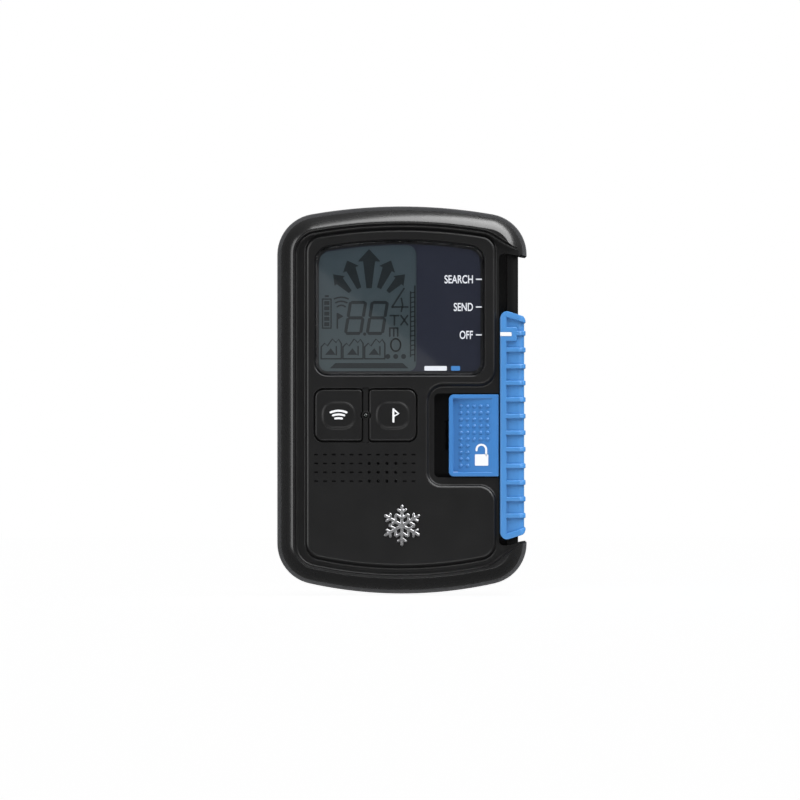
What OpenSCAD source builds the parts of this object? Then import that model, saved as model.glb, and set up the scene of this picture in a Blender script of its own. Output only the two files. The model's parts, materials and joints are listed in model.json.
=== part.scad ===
// Avalanche transceiver: a two-part case with a sliding mode switch, a lock for it, two keys,
// a display, three antennas and a battery bay behind a hinged door.
// Millimetres. +X is the switch side, -Y the display side, +Z runs up the case.
// The origin is the middle of the base.

/* [Case] */
// Width of the case across its hooked ends
case_w = 76; // [72:1:92]
// Height of the case
case_h = 118; // [116:1:142]
// Depth of the case, from the rim to the back
case_d = 29; // [28:0.5:36]
// Radius of the arched top edge
top_r = 160; // [130:5:200]
// Radius of the arched bottom edge
bottom_r = 130; // [110:5:180]
// Radius of the corners in the front view
corner_r = 12.5; // [11:0.5:14]
// Radius that rounds the back edge
back_round = 5.5; // [4.5:0.5:6.5]
// Thickness of the shells' walls
wall = 2.8; // [2.33:0.01:3]

/* [Front shell] */
// Depth of the front shell, from the rim to the seam
front_shell_d = 8.5; // [8:0.1:10.2]
// Step from the rear shell in to the rim
rim_step = 1.25; // [0.8:0.05:1.5]
// Distance from the outline in to the rim's inner edge
rim_w = 5.8; // [5.5:0.1:6.5]
// Width of the rim's flat crest
crest_w = 0.8; // [0.5:0.1:1.2]
// Height of the rim's curved flank
rim_flank = 6; // [5:0.1:7]
// Depth of the valley inside the rim, below the rim
valley_d = 2.5; // [2.2:0.1:3]
// Depth of the raised face, below the rim
face_d = 1.2; // [0.8:0.1:1.6]
// Thickness of the face's wall
face_wall = 2; // [1.6:0.1:2.2]
// Distance from the top of the case to the raised face
face_top = 7.2; // [6.8:0.1:8]
// Distance from the bottom of the case to the raised face
face_bottom = 8.2; // [7.8:0.1:9]
// Distance from the left side of the case to the raised face
face_side = 8.8; // [8:0.1:10]
// Corner radius of the raised face
face_r = 5; // [3:0.5:6]

/* [Display] */
// Width of the window
window_w = 51.3; // [46:0.1:54]
// Height of the window
window_h = 40.9; // [36:0.1:44]
// Distance from the top of the case to the window
window_top = 10.6; // [10.4:0.1:14]
// Place of the window's middle across the case
window_x = -0.7; // [-2:0.1:0]
// Radius of the window's arched top edge
window_arc = 130; // [100:5:200]
// Corner radius of the window
window_r = 5; // [3:0.5:6]
// Thickness of the window
window_t = 1.3; // [1:0.1:1.5]
// Width of the ledge that carries the window
window_ledge = 0.7; // [0.6:0.1:1]
// Width of the display glass
lcd_w = 32.2; // [28:0.1:36]
// Thickness of the display glass
lcd_t = 1.8; // [1.4:0.1:2]
// Thickness of the backlight
backlight_t = 1.5; // [1.2:0.1:1.6]
// Thickness of the display frame
lcd_frame_t = 1; // [0.8:0.1:1.1]

/* [Keys] */
// Width of a key
key_w = 14.1; // [11:0.1:15]
// Height of a key
key_h = 15.5; // [12:0.1:16]
// Corner radius of a key
key_r = 2.3; // [1:0.1:3]
// Place of the keys' lower edge
key_z = 46.6; // [46:0.1:48]
// Place of the bar between the keys, across the case
key_bar_x = -11; // [-12:0.1:-10]
// Width of the bar between the keys
key_bar_w = 1.7; // [1.4:0.1:2]
// Travel of a key
key_travel = 0.8; // [0.5:0.1:0.8]
// Thickness of a key, without its flange
key_t = 2.3; // [2:0.1:2.4]
// Width of the flange that keeps a key in
key_flange = 0.5; // [0.4:0.1:0.6]
// Diameter of the status light's lens
lens_dia = 1.1; // [0.8:0.1:1.2]

/* [Loudspeaker] */
// Pitch of the grille
grille_pitch = 2.68; // [2.4:0.02:2.8]
// Place of the grille's first column, across the case
grille_x = -26; // [-26.5:0.1:-25]
// Place of the grille's lowest row
grille_z = 34.4; // [33:0.1:35]
// Diameter of a sound hole
sound_hole_dia = 0.95; // [0.7:0.05:1.2]
// Diameter of the loudspeaker
speaker_dia = 16; // [14:0.5:17]
// Thickness of the loudspeaker
speaker_t = 3.9; // [3:0.1:4]

/* [Mode switch] */
// Height of the slot that the switch slides in
slot_h = 88.5; // [86:0.5:104]
// Place of the slot's lower end
slot_z = 14.9; // [14:0.1:16]
// Reach of the slot in from the side of the case
slot_reach = 8.6; // [8:0.1:9]
// Distance from the side of the case in to the body's side behind the switch
side_step = 2.7; // [2.5:0.1:3]
// Width of the guide groove
groove_w = 2.5; // [2.3:0.1:2.8]
// Depth of the guide groove below the track
groove_d = 3.6; // [3:0.1:3.8]
// Depth of the track below the rim
track_d = 3.3; // [3:0.1:3.5]
// Travel of the switch between two of its three places
switch_step = 8.43; // [8:0.01:8.6]
// Distance from the side of the case in to the switch's outside
switch_inset = 0.5; // [0.3:0.1:0.8]
// Thickness of the switch's skin
switch_skin = 0.9; // [0.8:0.1:1]
// Height of the ribs and rails above the skin at the front
rib_height = 0.9; // [0.6:0.1:1]
// Height of the ribs and rails above the skin at the side
rib_side = 0.4; // [0.2:0.1:0.6]
// Thickness of a rib
rib_t = 1.4; // [1:0.1:1.8]
// Pitch of the ribs
rib_pitch = 5.03; // [4.8:0.01:5.2]
// Number of ribs
rib_count = 12; // [6:1:12]
// Reach of the switch towards the back, from the seam
switch_wrap = 12.6; // [10:0.1:13]

/* [Switch lock] */
// Width of the lock's opening
lock_opening_w = 19.6; // [18:0.1:21]
// Height of the lock's opening
lock_opening_h = 25.5; // [22:0.1:27]
// Place of the opening's lower edge
lock_z = 35.5; // [35:0.1:37]
// Depth of the opening below the rim
lock_depth = 4.9; // [4.6:0.1:5.2]
// Width of the lock's button
lock_w = 15.1; // [14:0.1:15.8]
// Travel of the lock
lock_travel = 4.2; // [3:0.1:4.3]
// Width of the raised lip round the thumb recess
lock_lip = 1.3; // [1:0.1:1.6]
// Depth of the thumb recess
thumb_d = 1.3; // [0.8:0.1:1.5]
// Pitch of the grip dots
dot_pitch = 2; // [1.8:0.05:2.1]

/* [Batteries] */
// Diameter of a cell
cell_dia = 10.5; // [8.75:0.05:10.5]
// Length of a cell
cell_len = 44.5; // [40:0.5:44.5]
// Gap between two cells
cell_gap = 0.7; // [0.5:0.1:0.8]
// Room left for the spring at the end of each cell
spring_room = 4.9; // [4:0.1:6]
// Place of the bay's lower end
bay_z = 15; // [14.5:0.1:16]
// Thickness of the bay's walls
bay_wall = 1.4; // [1.2:0.1:1.6]
// Thickness of the battery door
door_t = 1.6; // [1.4:0.1:1.8]
// Width of the ledge round the bay, under the door
door_ledge = 1.9; // [1.7:0.1:2.2]
// Radius of the door's hinge barrel
barrel_r = 1.3; // [1.2:0.05:1.4]
// Radius of the hinge's stub pins
hinge_pin_r = 0.8; // [0.7:0.05:0.9]
// Length of the hinge's stub pins
hinge_pin_len = 1.4; // [1.2:0.1:2]
// Radius of the coin screw's head
coin_head_r = 3.3; // [3:0.1:3.5]
// Radius of the coin screw's shank
coin_shank_r = 1.5; // [1.2:0.1:1.6]

/* [Electronics] */
// Thickness of the main board
board_t = 1.6; // [1.2:0.1:1.7]
// Diameter of the long antennas' ferrite
ferrite_dia = 7; // [6:0.1:7.5]
// Length of the upright antenna
long_antenna = 80; // [60:1:82]
// Length of the cross antenna
cross_antenna = 40; // [30:1:42]
// Side of the flat antenna coil
flat_coil_w = 22; // [18:1:24]

/* [Fits and fasteners] */
// Gap round moving pieces
move_gap = 0.3; // [0.25:0.05:0.4]
// Gap round seated pieces
seat_gap = 0.1; // [0.05:0.05:0.15]
// Radial clearance of shafts in their bores
shaft_gap = 0.06; // [0.03:0.01:0.09]
// Radius of the housing screws' shanks
screw_r = 1.25; // [1:0.05:1.4]
// Radius of the screw bosses
boss_r = 3; // [2.8:0.1:3.2]

/* [Hidden] */
$fn = 48;
tiny = 0.01;
past = 5; // how far a cutter runs past what it cuts

// Depths, from the rim's crest to the back
y_front = -case_d / 2;
y_back = case_d / 2;
y_seam = y_front + front_shell_d;
y_valley = y_front + valley_d;
y_face = y_front + face_d;
y_face_in = y_face + face_wall;
slot_wall = 1.8;
y_valley_in = y_valley + slot_wall;
y_track = y_front + track_d;
y_groove = y_track + groove_d;
y_lock_floor = y_front + lock_depth;
y_lock_in = y_lock_floor + 1.6;
y_board = y_seam - board_t / 2; // the board lies in the plane of the seam
y_board_back = y_board + board_t;
y_back_in = y_back - wall;

// The slot of the mode switch
half_w = case_w / 2;
slot_x = half_w - slot_reach;
side_x = half_w - side_step;
slot_top = slot_z + slot_h;
groove_x = slot_x + groove_w;

// The mode switch
travel = 2 * switch_step;
switch_x = slot_x + move_gap;
switch_out = half_w - switch_inset;
switch_front = y_front + 1.1;
switch_in_y = switch_front + rib_height + switch_skin;
switch_in_x = side_x + 0.4;
switch_back = y_seam + switch_wrap;
switch_bottom = slot_z + 1.8;
switch_top = slot_top - travel - 0.6;
rail_w = 1.7;
lip_h = 1.4;
index_z = switch_top - 7;
leg_end = y_groove - 0.4;

// The lock
lock_top = lock_z + lock_opening_h;
lock_right = slot_x - seat_gap;
lock_left = lock_right - lock_w;
lock_front = y_front + 1.5;
lock_back = y_lock_floor - 0.4;
lock_mid = (lock_z + lock_top) / 2;
stem_w = 4;
stem_h = 5;
stem_x = lock_left + 3.8;
lug_x = stem_x + stem_w + 1;

// The window and the display
window_mid_z = case_h - window_top;
window_left = window_x - window_w / 2;
window_bottom = window_mid_z - window_h;
y_lens_back = y_face + window_t;
y_ledge = y_lens_back + 0.2;
y_lcd = y_face_in + seat_gap;
y_backlight = y_lcd + lcd_t;
lcd_right = window_left + lcd_w;

// The keys
key_left_x = key_bar_x - key_bar_w / 2 - move_gap - key_w;
key_right_x = key_bar_x + key_bar_w / 2 + move_gap;
key_front = y_face - 0.2;
key_back = y_face_in + seat_gap;
y_membrane = key_back + 0.7 + 1.3;
membrane_t = 0.5;

// What sits behind the grille and moves with the switch and the lock
speaker_x = grille_x + 7.5 * grille_pitch;
speaker_z = grille_z + grille_pitch;
detent_z = slot_z + 25;
lock_spring_x = lock_left - 3.5;
magnet_z = slot_z + 49.6;
magnet_len = 5;
sensor_len = 2.5;

// The back: bay, door and its hinge
cell_pitch = cell_dia + cell_gap;
bay_half = cell_pitch + cell_dia / 2 + 0.95;
bay_top = bay_z + cell_len + spring_room + 0.6;
y_ledge_back = y_back - door_t - 0.3;
y_door_in = y_back - door_t;
cell_y = y_door_in - 0.25 - cell_dia / 2;
y_bay = cell_y - cell_dia / 2 - 0.15;
door_half = bay_half + door_ledge;
door_bottom = bay_z - 9;
hinge_z = bay_top + door_ledge;
hinge_y = y_back - barrel_r;
coin_z = door_bottom + coin_head_r + 0.6;
coin_back = y_back - 0.3;
coin_seat = coin_back - 1;
insert_end = y_door_in - 4.6;

// Screws and bosses
boss_x = half_w - 9.5;
boss_low = 12;
boss_high = case_h - 11.5;
y_boss = y_board_back + 2;
head_seat = y_back - 3.5;
insert_r = 2.1;
insert_deep = y_boss - 4.6;
board_posts = [[-20, 26], [20, 22], [20, window_mid_z - 15]];

// Antennas
antenna_y = y_back_in - 1 - ferrite_dia / 2 - 0.7;
winding_r = ferrite_dia / 2 + 0.7;
long_x = -half_w + 10.8;
long_z = boss_low + boss_r + 2.3;
cross_z = case_h - 16.5;
cross_x = long_x + winding_r + 4;
flat_x = 4;
flat_z = cross_z - winding_r - 4.5 - flat_coil_w / 2;

// Colours
shell_black = [0.19, 0.19, 0.195];
case_grey = [0.26, 0.265, 0.27];
switch_blue = [0.27, 0.54, 0.85];
silicone = [0.12, 0.12, 0.13];
metal = [0.75, 0.75, 0.77];
brass = [0.8, 0.65, 0.3];
board_green = [0.05, 0.3, 0.15];
copper = [0.75, 0.4, 0.2];

// Points on an arc about c; skip leaves that many points out at each end
function arc(c, r, a0, a1, n, skip = 0) =
    [for (i = [skip:n - skip]) let (a = a0 + (a1 - a0) * i / n) c + r * [cos(a), sin(a)]];

// The case's outline in the front view, moved in by d, anticlockwise as seen from the front
function outline(d) =
    let (
        r = corner_r - d,
        x = half_w - corner_r,
        top_c = [0, case_h - top_r],
        low_c = [0, bottom_r],
        top_z = top_c.y + sqrt(pow(top_r - corner_r, 2) - x * x),
        low_z = low_c.y - sqrt(pow(bottom_r - corner_r, 2) - x * x),
        top_a = atan2(top_z - top_c.y, x),
        low_a = atan2(low_c.y - low_z, x))
    concat(
        arc([x, top_z], r, 0, top_a, 8),
        arc(top_c, top_r - d, top_a, 180 - top_a, 16, 1),
        arc([-x, top_z], r, 180 - top_a, 180, 8),
        arc([-x, low_z], r, 180, 180 + low_a, 8),
        arc(low_c, bottom_r - d, 180 + low_a, 360 - low_a, 16, 1),
        arc([x, low_z], r, 360 - low_a, 360, 8));

// Height of the top and bottom edges, moved in by d, at a place across the case
function top_edge(d, x) = case_h - top_r + sqrt(pow(top_r - d, 2) - x * x);
function bottom_edge(d, x) = bottom_r - sqrt(pow(bottom_r - d, 2) - x * x);

// A ring in space at depth y from points in the front view
function at_depth(points, y) = [for (p = points) [p.x, y, p.y]];

// The points that round corner b of a path a, b, c
function unit(v) = v / norm(v);
function fillet(a, b, c, r) =
    let (
        u = unit(a - b),
        v = unit(c - b),
        half = acos(u * v) / 2,
        m = b + unit(u + v) * r / sin(half),
        p = b + u * r / tan(half) - m,
        q = b + v * r / tan(half) - m,
        a0 = atan2(p.y, p.x),
        turn = (atan2(q.y, q.x) - a0 + 540) % 360 - 180)
    arc(m, r, a0, a0 + turn, 6);

// A closed path from corners [x, y, radius]
function rounded(corners) =
    let (n = len(corners), xy = [for (c = corners) [c.x, c.y]])
    [for (i = [0:n - 1]) each corners[i].z == 0 ? [xy[i]]
        : fillet(xy[(i + n - 1) % n], xy[i], xy[(i + 1) % n], corners[i].z)];

function rounded_box(x0, z0, x1, z1, r) = rounded([[x0, z0, r], [x1, z0, r], [x1, z1, r], [x0, z1, r]]);

// A cubic curve from a to d
function curve(a, b, c, d, n) =
    [for (i = [0:n]) let (t = i / n, s = 1 - t) s * s * s * a + 3 * s * s * t * b + 3 * s * t * t * c + t * t * t * d];

// The window's outline, moved in by d
function window_path(d) =
    let (
        l = window_left + d,
        r = window_left + window_w - d,
        c = [window_x, window_mid_z - window_arc],
        half = asin((window_w / 2 - d) / (window_arc - d)),
        top = arc(c, window_arc - d, 90 - half, 90 + half, 12),
        round = window_r - d)
    rounded(concat(
        [[l, window_bottom + d, round], [r, window_bottom + d, round]],
        [[top[0].x, top[0].y, round]],
        [for (i = [2:10]) [top[i].x, top[i].y, 0]],
        [[top[12].x, top[12].y, round]]));

// The raised face's outline
function face_path() =
    let (
        l = -half_w + face_side,
        r = slot_x - 1,
        notch = slot_x - lock_opening_w - 1.8,
        top_n = [for (i = [1:9]) let (x = r + (l - r) * i / 10) [x, top_edge(face_top, x), 0]],
        low_n = [for (i = [1:9]) let (x = l + (r - l) * i / 10) [x, bottom_edge(face_bottom, x), 0]])
    rounded(concat(
        [[r, lock_top + 2.3, 4], [r, top_edge(face_top, r), face_r]], top_n,
        [[l, top_edge(face_top, l), face_r], [l, bottom_edge(face_bottom, l), face_r]], low_n,
        [[r, bottom_edge(face_bottom, r), face_r], [r, lock_z - 2.3, 4]],
        [[notch, lock_z - 2.3, 4.5], [notch, lock_top + 2.3, 4.5]]));

// A solid through rings that each have as many points
module loft(rings) {
    n = len(rings[0]);
    last = len(rings) - 1;
    polyhedron(
        points = [for (ring = rings) each ring],
        faces = concat(
            [[for (i = [n - 1:-1:0]) i]],
            [for (k = [0:last - 1], i = [0:n - 1]) let (j = (i + 1) % n)
                [k * n + i, k * n + j, (k + 1) * n + j, (k + 1) * n + i]],
            [[for (i = [0:n - 1]) last * n + i]]));
}

// Extrudes a shape in the front view from depth y0 to y1
module slab(y0, y1) {
    rotate([90, 0, 0]) translate([0, 0, -y1]) linear_extrude(y1 - y0) children();
}

module box(x0, y0, z0, x1, y1, z1) {
    translate([x0, y0, z0]) cube([x1 - x0, y1 - y0, z1 - z0]);
}

// A cylinder along Y from y0 to y1
module rod_y(x, z, r, y0, y1) {
    translate([x, y1, z]) rotate([90, 0, 0]) cylinder(r = r, h = y1 - y0);
}

// A cylinder along X from x0 to x1
module rod_x(x0, x1, y, z, r) {
    translate([x0, y, z]) rotate([0, 90, 0]) cylinder(r = r, h = x1 - x0);
}

// A coil spring along +Z
module coil(r, wire_r, length, turns) {
    n = 14;
    sides = 6;
    steps = turns * n;
    loft([for (i = [0:steps]) let (
            a = 360 * i / n,
            c = [r * cos(a), r * sin(a), wire_r + (length - 2 * wire_r) * i / steps])
        [for (j = [0:sides - 1]) let (b = 360 * j / sides)
            c + wire_r * [cos(a) * cos(b), sin(a) * cos(b), sin(b)]]]);
}

// The plan of the case behind the rim, moved in by d, with the notch beside the switch
module body_plan(d) {
    difference() {
        polygon(outline(d));
        polygon([
            [side_x - d, slot_z + 0.5 - d], [half_w + past, slot_z + 1.3 - d],
            [half_w + past, slot_top - 1.8 + d], [side_x - d, slot_top + d]]);
    }
}

// What lies inside the rim: the outline moved in, opened towards the hooked ends
module rim_opening() {
    x = half_w - 13;
    polygon(outline(rim_w));
    polygon(concat(
        curve([x, top_edge(rim_w, x)], [x + 4.5, top_edge(rim_w, x) - 1],
            [x + 5.5, slot_top + 2], [half_w - 0.5, slot_top + 1.2], 10),
        [[half_w + past, slot_top + 1.2], [half_w + past, slot_z + 0.3]],
        curve([half_w - 0.5, slot_z + 0.3], [x + 5.5, slot_z - 0.9],
            [x + 4.5, bottom_edge(rim_w, x) + 1.3], [x, bottom_edge(rim_w, x)], 10)));
}

// The places of the four housing screws
module at_bosses() {
    for (x = [-boss_x, boss_x], z = [boss_low, boss_high]) translate([x, 0, z]) children();
}

function rim_ring(a) =
    let (inner = rim_w - crest_w)
    at_depth(
        outline(rim_step + (inner - rim_step) * (1 - cos(a))),
        y_front + rim_flank * (1 - sin(a)));

function back_ring(d, r, a) =
    at_depth(outline(d + r * (1 - cos(a))), y_back - back_round + r * sin(a));

module grille() {
    for (i = [0:11], j = [0:3]) {
        x = grille_x + i * grille_pitch;
        z = grille_z + j * grille_pitch;
        if (i >= 6 && i <= 9 && j <= 2)
            rod_y(x, z, sound_hole_dia / 2, y_face - past, y_face_in + past);
        else
            box(x - 0.6, y_face - past, z - 0.25, x + 0.6, y_face + 0.4, z + 0.25);
    }
}

module front_cavity() {
    difference() {
        union() {
            slab(y_valley_in, y_seam + past) difference() {
                polygon(outline(rim_step + wall));
                translate([slot_x - slot_wall, slot_z - slot_wall])
                    square([half_w, slot_h + 2 * slot_wall]);
            }
            slab(y_face_in, y_valley_in + past) intersection() {
                union() {
                    polygon(outline(face_side + 0.7));
                    lcd_plan(lcd_frame_t + 3 * seat_gap);
                }
                translate([-half_w, 0]) square([half_w + slot_x - 2.6, case_h]);
            }
        }
        box(slot_x - lock_opening_w - 1.6, y_front, lock_z - 1.6, half_w, y_lock_in, lock_top + 1.6);
        at_bosses() rod_y(0, 0, boss_r, y_front, y_seam + past);
        for (p = board_posts) rod_y(p.x, p.y, 2.2, y_front, y_board);
        for (s = [0, stem_h + 2])
            box(lock_left - 4.4, y_front, lock_mid - 4 + s, lock_left - 3.6, y_lock_in + 4, lock_mid - 3 + s);
    }
}

module slot_cut() {
    box(slot_x, y_front - past, slot_z, half_w + past, y_track, slot_top);
    box(slot_x, y_front - past, slot_z, groove_x, y_groove, slot_top);
    // The track's outer corner is rounded
    difference() {
        box(side_x - 2.2, y_front, slot_z, side_x + past, y_track + 2.2, slot_top);
        translate([side_x - 2.2, y_track + 2.2, 0]) cylinder(r = 2.2, h = case_h);
    }
}

module front_housing() color(shell_black) {
    difference() {
        union() {
            difference() {
                loft(concat([for (a = [90:-15:0]) rim_ring(a)],
                    [at_depth(outline(rim_step), y_seam)]));
                slab(y_front - past, y_valley) rim_opening();
            }
            slab(y_face, y_valley + 1) polygon(face_path());
        }
        front_cavity();
        slot_cut();
        slab(y_front - past, y_seam + past) difference() {
            translate([side_x - past, -past]) square([side_step + 2 * past, case_h + 2 * past]);
            body_plan(0);
        }
        // Window recess and the opening under it
        slab(y_front - past, y_ledge) polygon(window_path(-seat_gap));
        slab(y_front - past, y_board) polygon(window_path(window_ledge));
        // Openings for the keys and the status light
        for (x = [key_left_x, key_right_x])
            slab(y_front - past, y_valley_in) polygon(rounded_box(
                x - move_gap, key_z - move_gap, x + key_w + move_gap, key_z + key_h + move_gap,
                key_r + move_gap));
        rod_y(key_bar_x, key_z + key_h / 2, lens_dia / 2 + shaft_gap, y_front, y_valley_in);
        grille();
        // Opening for the lock, and the slot its stem runs in
        box(slot_x - lock_opening_w, y_front - past, lock_z, slot_x + tiny, y_lock_floor, lock_top);
        box(stem_x - lock_travel - move_gap, y_front, lock_mid - stem_h / 2 - move_gap,
            stem_x + stem_w + move_gap, y_lock_in + tiny, lock_mid + stem_h / 2 + move_gap);
        // Seats of the inserts, pilot holes of the board screws and half the seal's groove
        at_bosses() rod_y(0, 0, insert_r + seat_gap / 2, insert_deep, y_seam + past);
        for (p = board_posts) rod_y(p.x, p.y, 0.8, y_board - 3, y_board + past);
        slab(y_seam - 0.5 - seat_gap / 2, y_seam + past) seal_plan(seat_gap / 2);
    }
    at_bosses() difference() {
        rod_y(0, 0, boss_r, y_seam - tiny, y_boss);
        rod_y(0, 0, insert_r + seat_gap / 2, y_seam - past, y_boss + past);
    }
}

module seal_plan(grow) {
    difference() {
        body_plan(1.8 - grow);
        body_plan(2.5 + grow);
    }
}

module rear_housing() color(case_grey) {
    inner_r = back_round - wall;
    difference() {
        union() {
            difference() {
                loft(concat([at_depth(outline(0), y_seam)], [for (a = [0:15:90]) back_ring(0, back_round, a)]));
                difference() {
                    loft(concat([at_depth(outline(wall), y_seam - past)],
                        [for (a = [0:30:90]) back_ring(wall, inner_r, a)]));
                    slab(y_seam - past, y_back) translate([side_x - wall, slot_z + 0.5 - wall])
                        square([side_step + wall + past, slot_h - 0.5 + 2 * wall]);
                    at_bosses() rod_y(0, 0, boss_r, y_boss, y_back);
                    box(-bay_half - bay_wall, y_bay - bay_wall, bay_z - bay_wall,
                        bay_half + bay_wall, y_back, bay_top + bay_wall);
                    // The thicker wall under the door's edge, hinge and screw
                    box(-door_half - 2.6, y_door_in - 3, bay_z - 2.5, door_half + 2.6, y_back, hinge_z + 2.6);
                    rod_y(0, coin_z, 3.6, insert_end - 1, y_back);
                }
            }
        }
        // Notch beside the switch, and the groove its lip runs in
        slab(y_seam - past, y_back + past) difference() {
            translate([side_x - past, -past]) square([side_step + 2 * past, case_h + 2 * past]);
            body_plan(0);
        }
        box(side_x - lip_h, switch_back - lip_h - 0.3, slot_z + 0.5, half_w + past, switch_back + 0.3, slot_top);
        // Bay, door recess and hinge groove
        box(-bay_half, y_bay, bay_z, bay_half, y_back + past, bay_top);
        box(-door_half - move_gap, y_ledge_back, bay_z - 1.9, door_half + move_gap, y_back + past, hinge_z);
        slab(y_door_in - 0.2, y_back + past) polygon(door_path(move_gap));
        rod_x(-door_half - move_gap, door_half + move_gap, hinge_y, hinge_z, barrel_r + 0.35);
        rod_x(-door_half - hinge_pin_len - move_gap, door_half + hinge_pin_len + move_gap,
            hinge_y, hinge_z, hinge_pin_r + shaft_gap);
        // Seat of the door's insert
        rod_y(0, coin_z, 2.5 + seat_gap / 2, insert_end, y_back);
        // Housing screws
        at_bosses() {
            rod_y(0, 0, 1.5, y_boss - past, y_back);
            rod_y(0, 0, 2.4, head_seat, y_back + past);
        }
        // Passage for the contact plates' tails
        for (z = [bay_z, bay_top - 0.5])
            box(bay_half - 4.2, y_bay - 2 * bay_wall, z - 0.1, bay_half - 1.8, y_bay + 1, z + 0.6);
        slab(y_seam - past, y_seam + 0.5 + seat_gap / 2) seal_plan(seat_gap / 2);
    }
}

module housing_seal() color(silicone)
    slab(y_seam - 0.5, y_seam + 0.5) seal_plan(0);

module housing_screws() color(metal) at_bosses() difference() {
    union() {
        rod_y(0, 0, screw_r, insert_deep + 1, head_seat + 1);
        rod_y(0, 0, 2.2, head_seat, head_seat + 1.8);
    }
    translate([0, head_seat + 2, 0]) rotate([90, 0, 0]) cylinder(r = 1.15, h = 1.2, $fn = 6);
}

module screw_inserts() color(brass) at_bosses() difference() {
    rod_y(0, 0, insert_r, insert_deep, y_boss - 0.1);
    rod_y(0, 0, screw_r + shaft_gap, insert_deep - past, y_boss + past);
}

module display_window() color([0.1, 0.11, 0.15, 0.6])
    slab(y_face, y_lens_back) polygon(window_path(0));

module window_gasket() color(silicone) slab(y_lens_back, y_ledge) difference() {
    polygon(window_path(0.1));
    polygon(window_path(window_ledge));
}

module window_print() color([0.1, 0.11, 0.16]) slab(y_lens_back, y_lens_back + 0.1) difference() {
    polygon(window_path(window_ledge + seat_gap));
    intersection() {
        polygon(window_path(window_ledge + 0.6));
        translate([window_left, 0]) square([lcd_w - 1.5, case_h]);
    }
}

// The display's outline: the window's, cut off on the right; grown by g
module lcd_plan(g) {
    intersection() {
        polygon(window_path(-seat_gap - g));
        translate([-case_w, 0]) square([case_w + lcd_right + g, case_h]);
    }
}

module lcd_panel() color([0.42, 0.47, 0.46]) slab(y_lcd, y_backlight) lcd_plan(0);

module lcd_backlight() color("white") slab(y_backlight, y_backlight + backlight_t) lcd_plan(-0.5);

module lcd_frame() color([0.15, 0.15, 0.16]) slab(y_lcd + 0.2, y_board) difference() {
    lcd_plan(seat_gap + lcd_frame_t);
    lcd_plan(seat_gap);
}

module lcd_connector() color([0.5, 0.2, 0.5])
    box(window_left + 6, y_backlight + backlight_t, window_bottom + 1.2,
        lcd_right - 6, y_board, window_bottom + 3.2);

module key(x) {
    difference() {
        slab(key_front, key_back) polygon(rounded_box(x, key_z, x + key_w, key_z + key_h, key_r));
        slab(key_front - past, key_front + 0.35) difference() {
            polygon(rounded_box(x - 1, key_z - 1, x + key_w + 1, key_z + key_h + 1, 1));
            polygon(rounded_box(x + key_w / 2 - 5, key_z + key_h / 2 - 4.1, x + key_w / 2 + 5,
                key_z + key_h / 2 + 4.1, 3.2));
        }
    }
    slab(key_back - tiny, key_back + 0.7) polygon(rounded_box(x - key_flange, key_z - key_flange,
        x + key_w + key_flange, key_z + key_h + key_flange, 1.5));
}

module scan_button() color(shell_black) key(key_left_x);

module mark_button() color(shell_black) key(key_right_x);

module boot(x) {
    translate([x + key_w / 2, y_membrane, key_z + key_h / 2]) rotate([90, 0, 0])
        cylinder(r1 = 3.4, r2 = 2.2, h = 1.3);
}

module scan_boot() color(silicone) boot(key_left_x);

module mark_boot() color(silicone) boot(key_right_x);

module keypad_membrane() color(silicone) difference() {
    slab(y_membrane, y_membrane + membrane_t) polygon(rounded_box(
        key_left_x - 0.5, key_z - 1, key_right_x + key_w + 0.5, key_z + key_h + 1, 2));
    rod_y(key_bar_x, key_z + key_h / 2, lens_dia / 2 + 0.3, y_face, y_board);
}

module key_switches() color(metal) for (x = [key_left_x, key_right_x]) {
    c = [x + key_w / 2, key_z + key_h / 2];
    box(c.x - 2.2, y_membrane + membrane_t + 0.3, c.y - 2.2, c.x + 2.2, y_board, c.y + 2.2);
    rod_y(c.x, c.y, 1, y_membrane + membrane_t + 0.1, y_board);
}

module status_lens() color([0.2, 0.3, 0.2])
    rod_y(key_bar_x, key_z + key_h / 2, lens_dia / 2, y_face, y_board - 0.9);

module status_led() color("white")
    box(key_bar_x - 0.8, y_board - 0.7, key_z + key_h / 2 - 0.5, key_bar_x + 0.8, y_board, key_z + key_h / 2 + 0.5);

module speaker_mesh() color([0.3, 0.3, 0.32])
    rod_y(speaker_x, speaker_z, speaker_dia / 2 - 1.5, y_face_in, y_face_in + 0.2);

module speaker() color([0.22, 0.22, 0.24]) {
    rod_y(speaker_x, speaker_z, speaker_dia / 2, y_face_in + 0.3, y_face_in + 1.5);
    rod_y(speaker_x, speaker_z, speaker_dia / 2 - 1.5, y_face_in + 1, y_face_in + 0.3 + speaker_t);
}

// A six-armed snow crystal
module badge() color(metal) slab(y_face - 0.3, y_face) translate([0, 21]) {
    circle(r = 1.3);
    for (a = [0:60:300]) rotate(a) {
        translate([-0.45, 0]) square([0.9, 6.3]);
        for (s = [-1, 1]) translate([0, 3.1]) rotate(s * 55) translate([-0.35, 0]) square([0.7, 2.3]);
    }
}

// The switch's section across its travel
function switch_section() = rounded([
    [switch_x, leg_end, 0], [switch_x + rail_w, leg_end, 0], [switch_x + rail_w, switch_in_y, 0],
    [switch_in_x, switch_in_y, 2.6], [switch_in_x, switch_back - lip_h, 0],
    [switch_in_x - lip_h + 0.3, switch_back - lip_h, 0], [switch_in_x - lip_h + 0.3, switch_back, 0],
    [switch_out, switch_back, 0.4], [switch_out, switch_back - 1.8, 0],
    [switch_out - rib_side, switch_back - 1.8, 0], [switch_out - rib_side, switch_front + rib_height, 3.2],
    [switch_x + rail_w, switch_front + rib_height, 0], [switch_x + rail_w, switch_front, 0],
    [switch_x, switch_front, 0.5]]);

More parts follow.
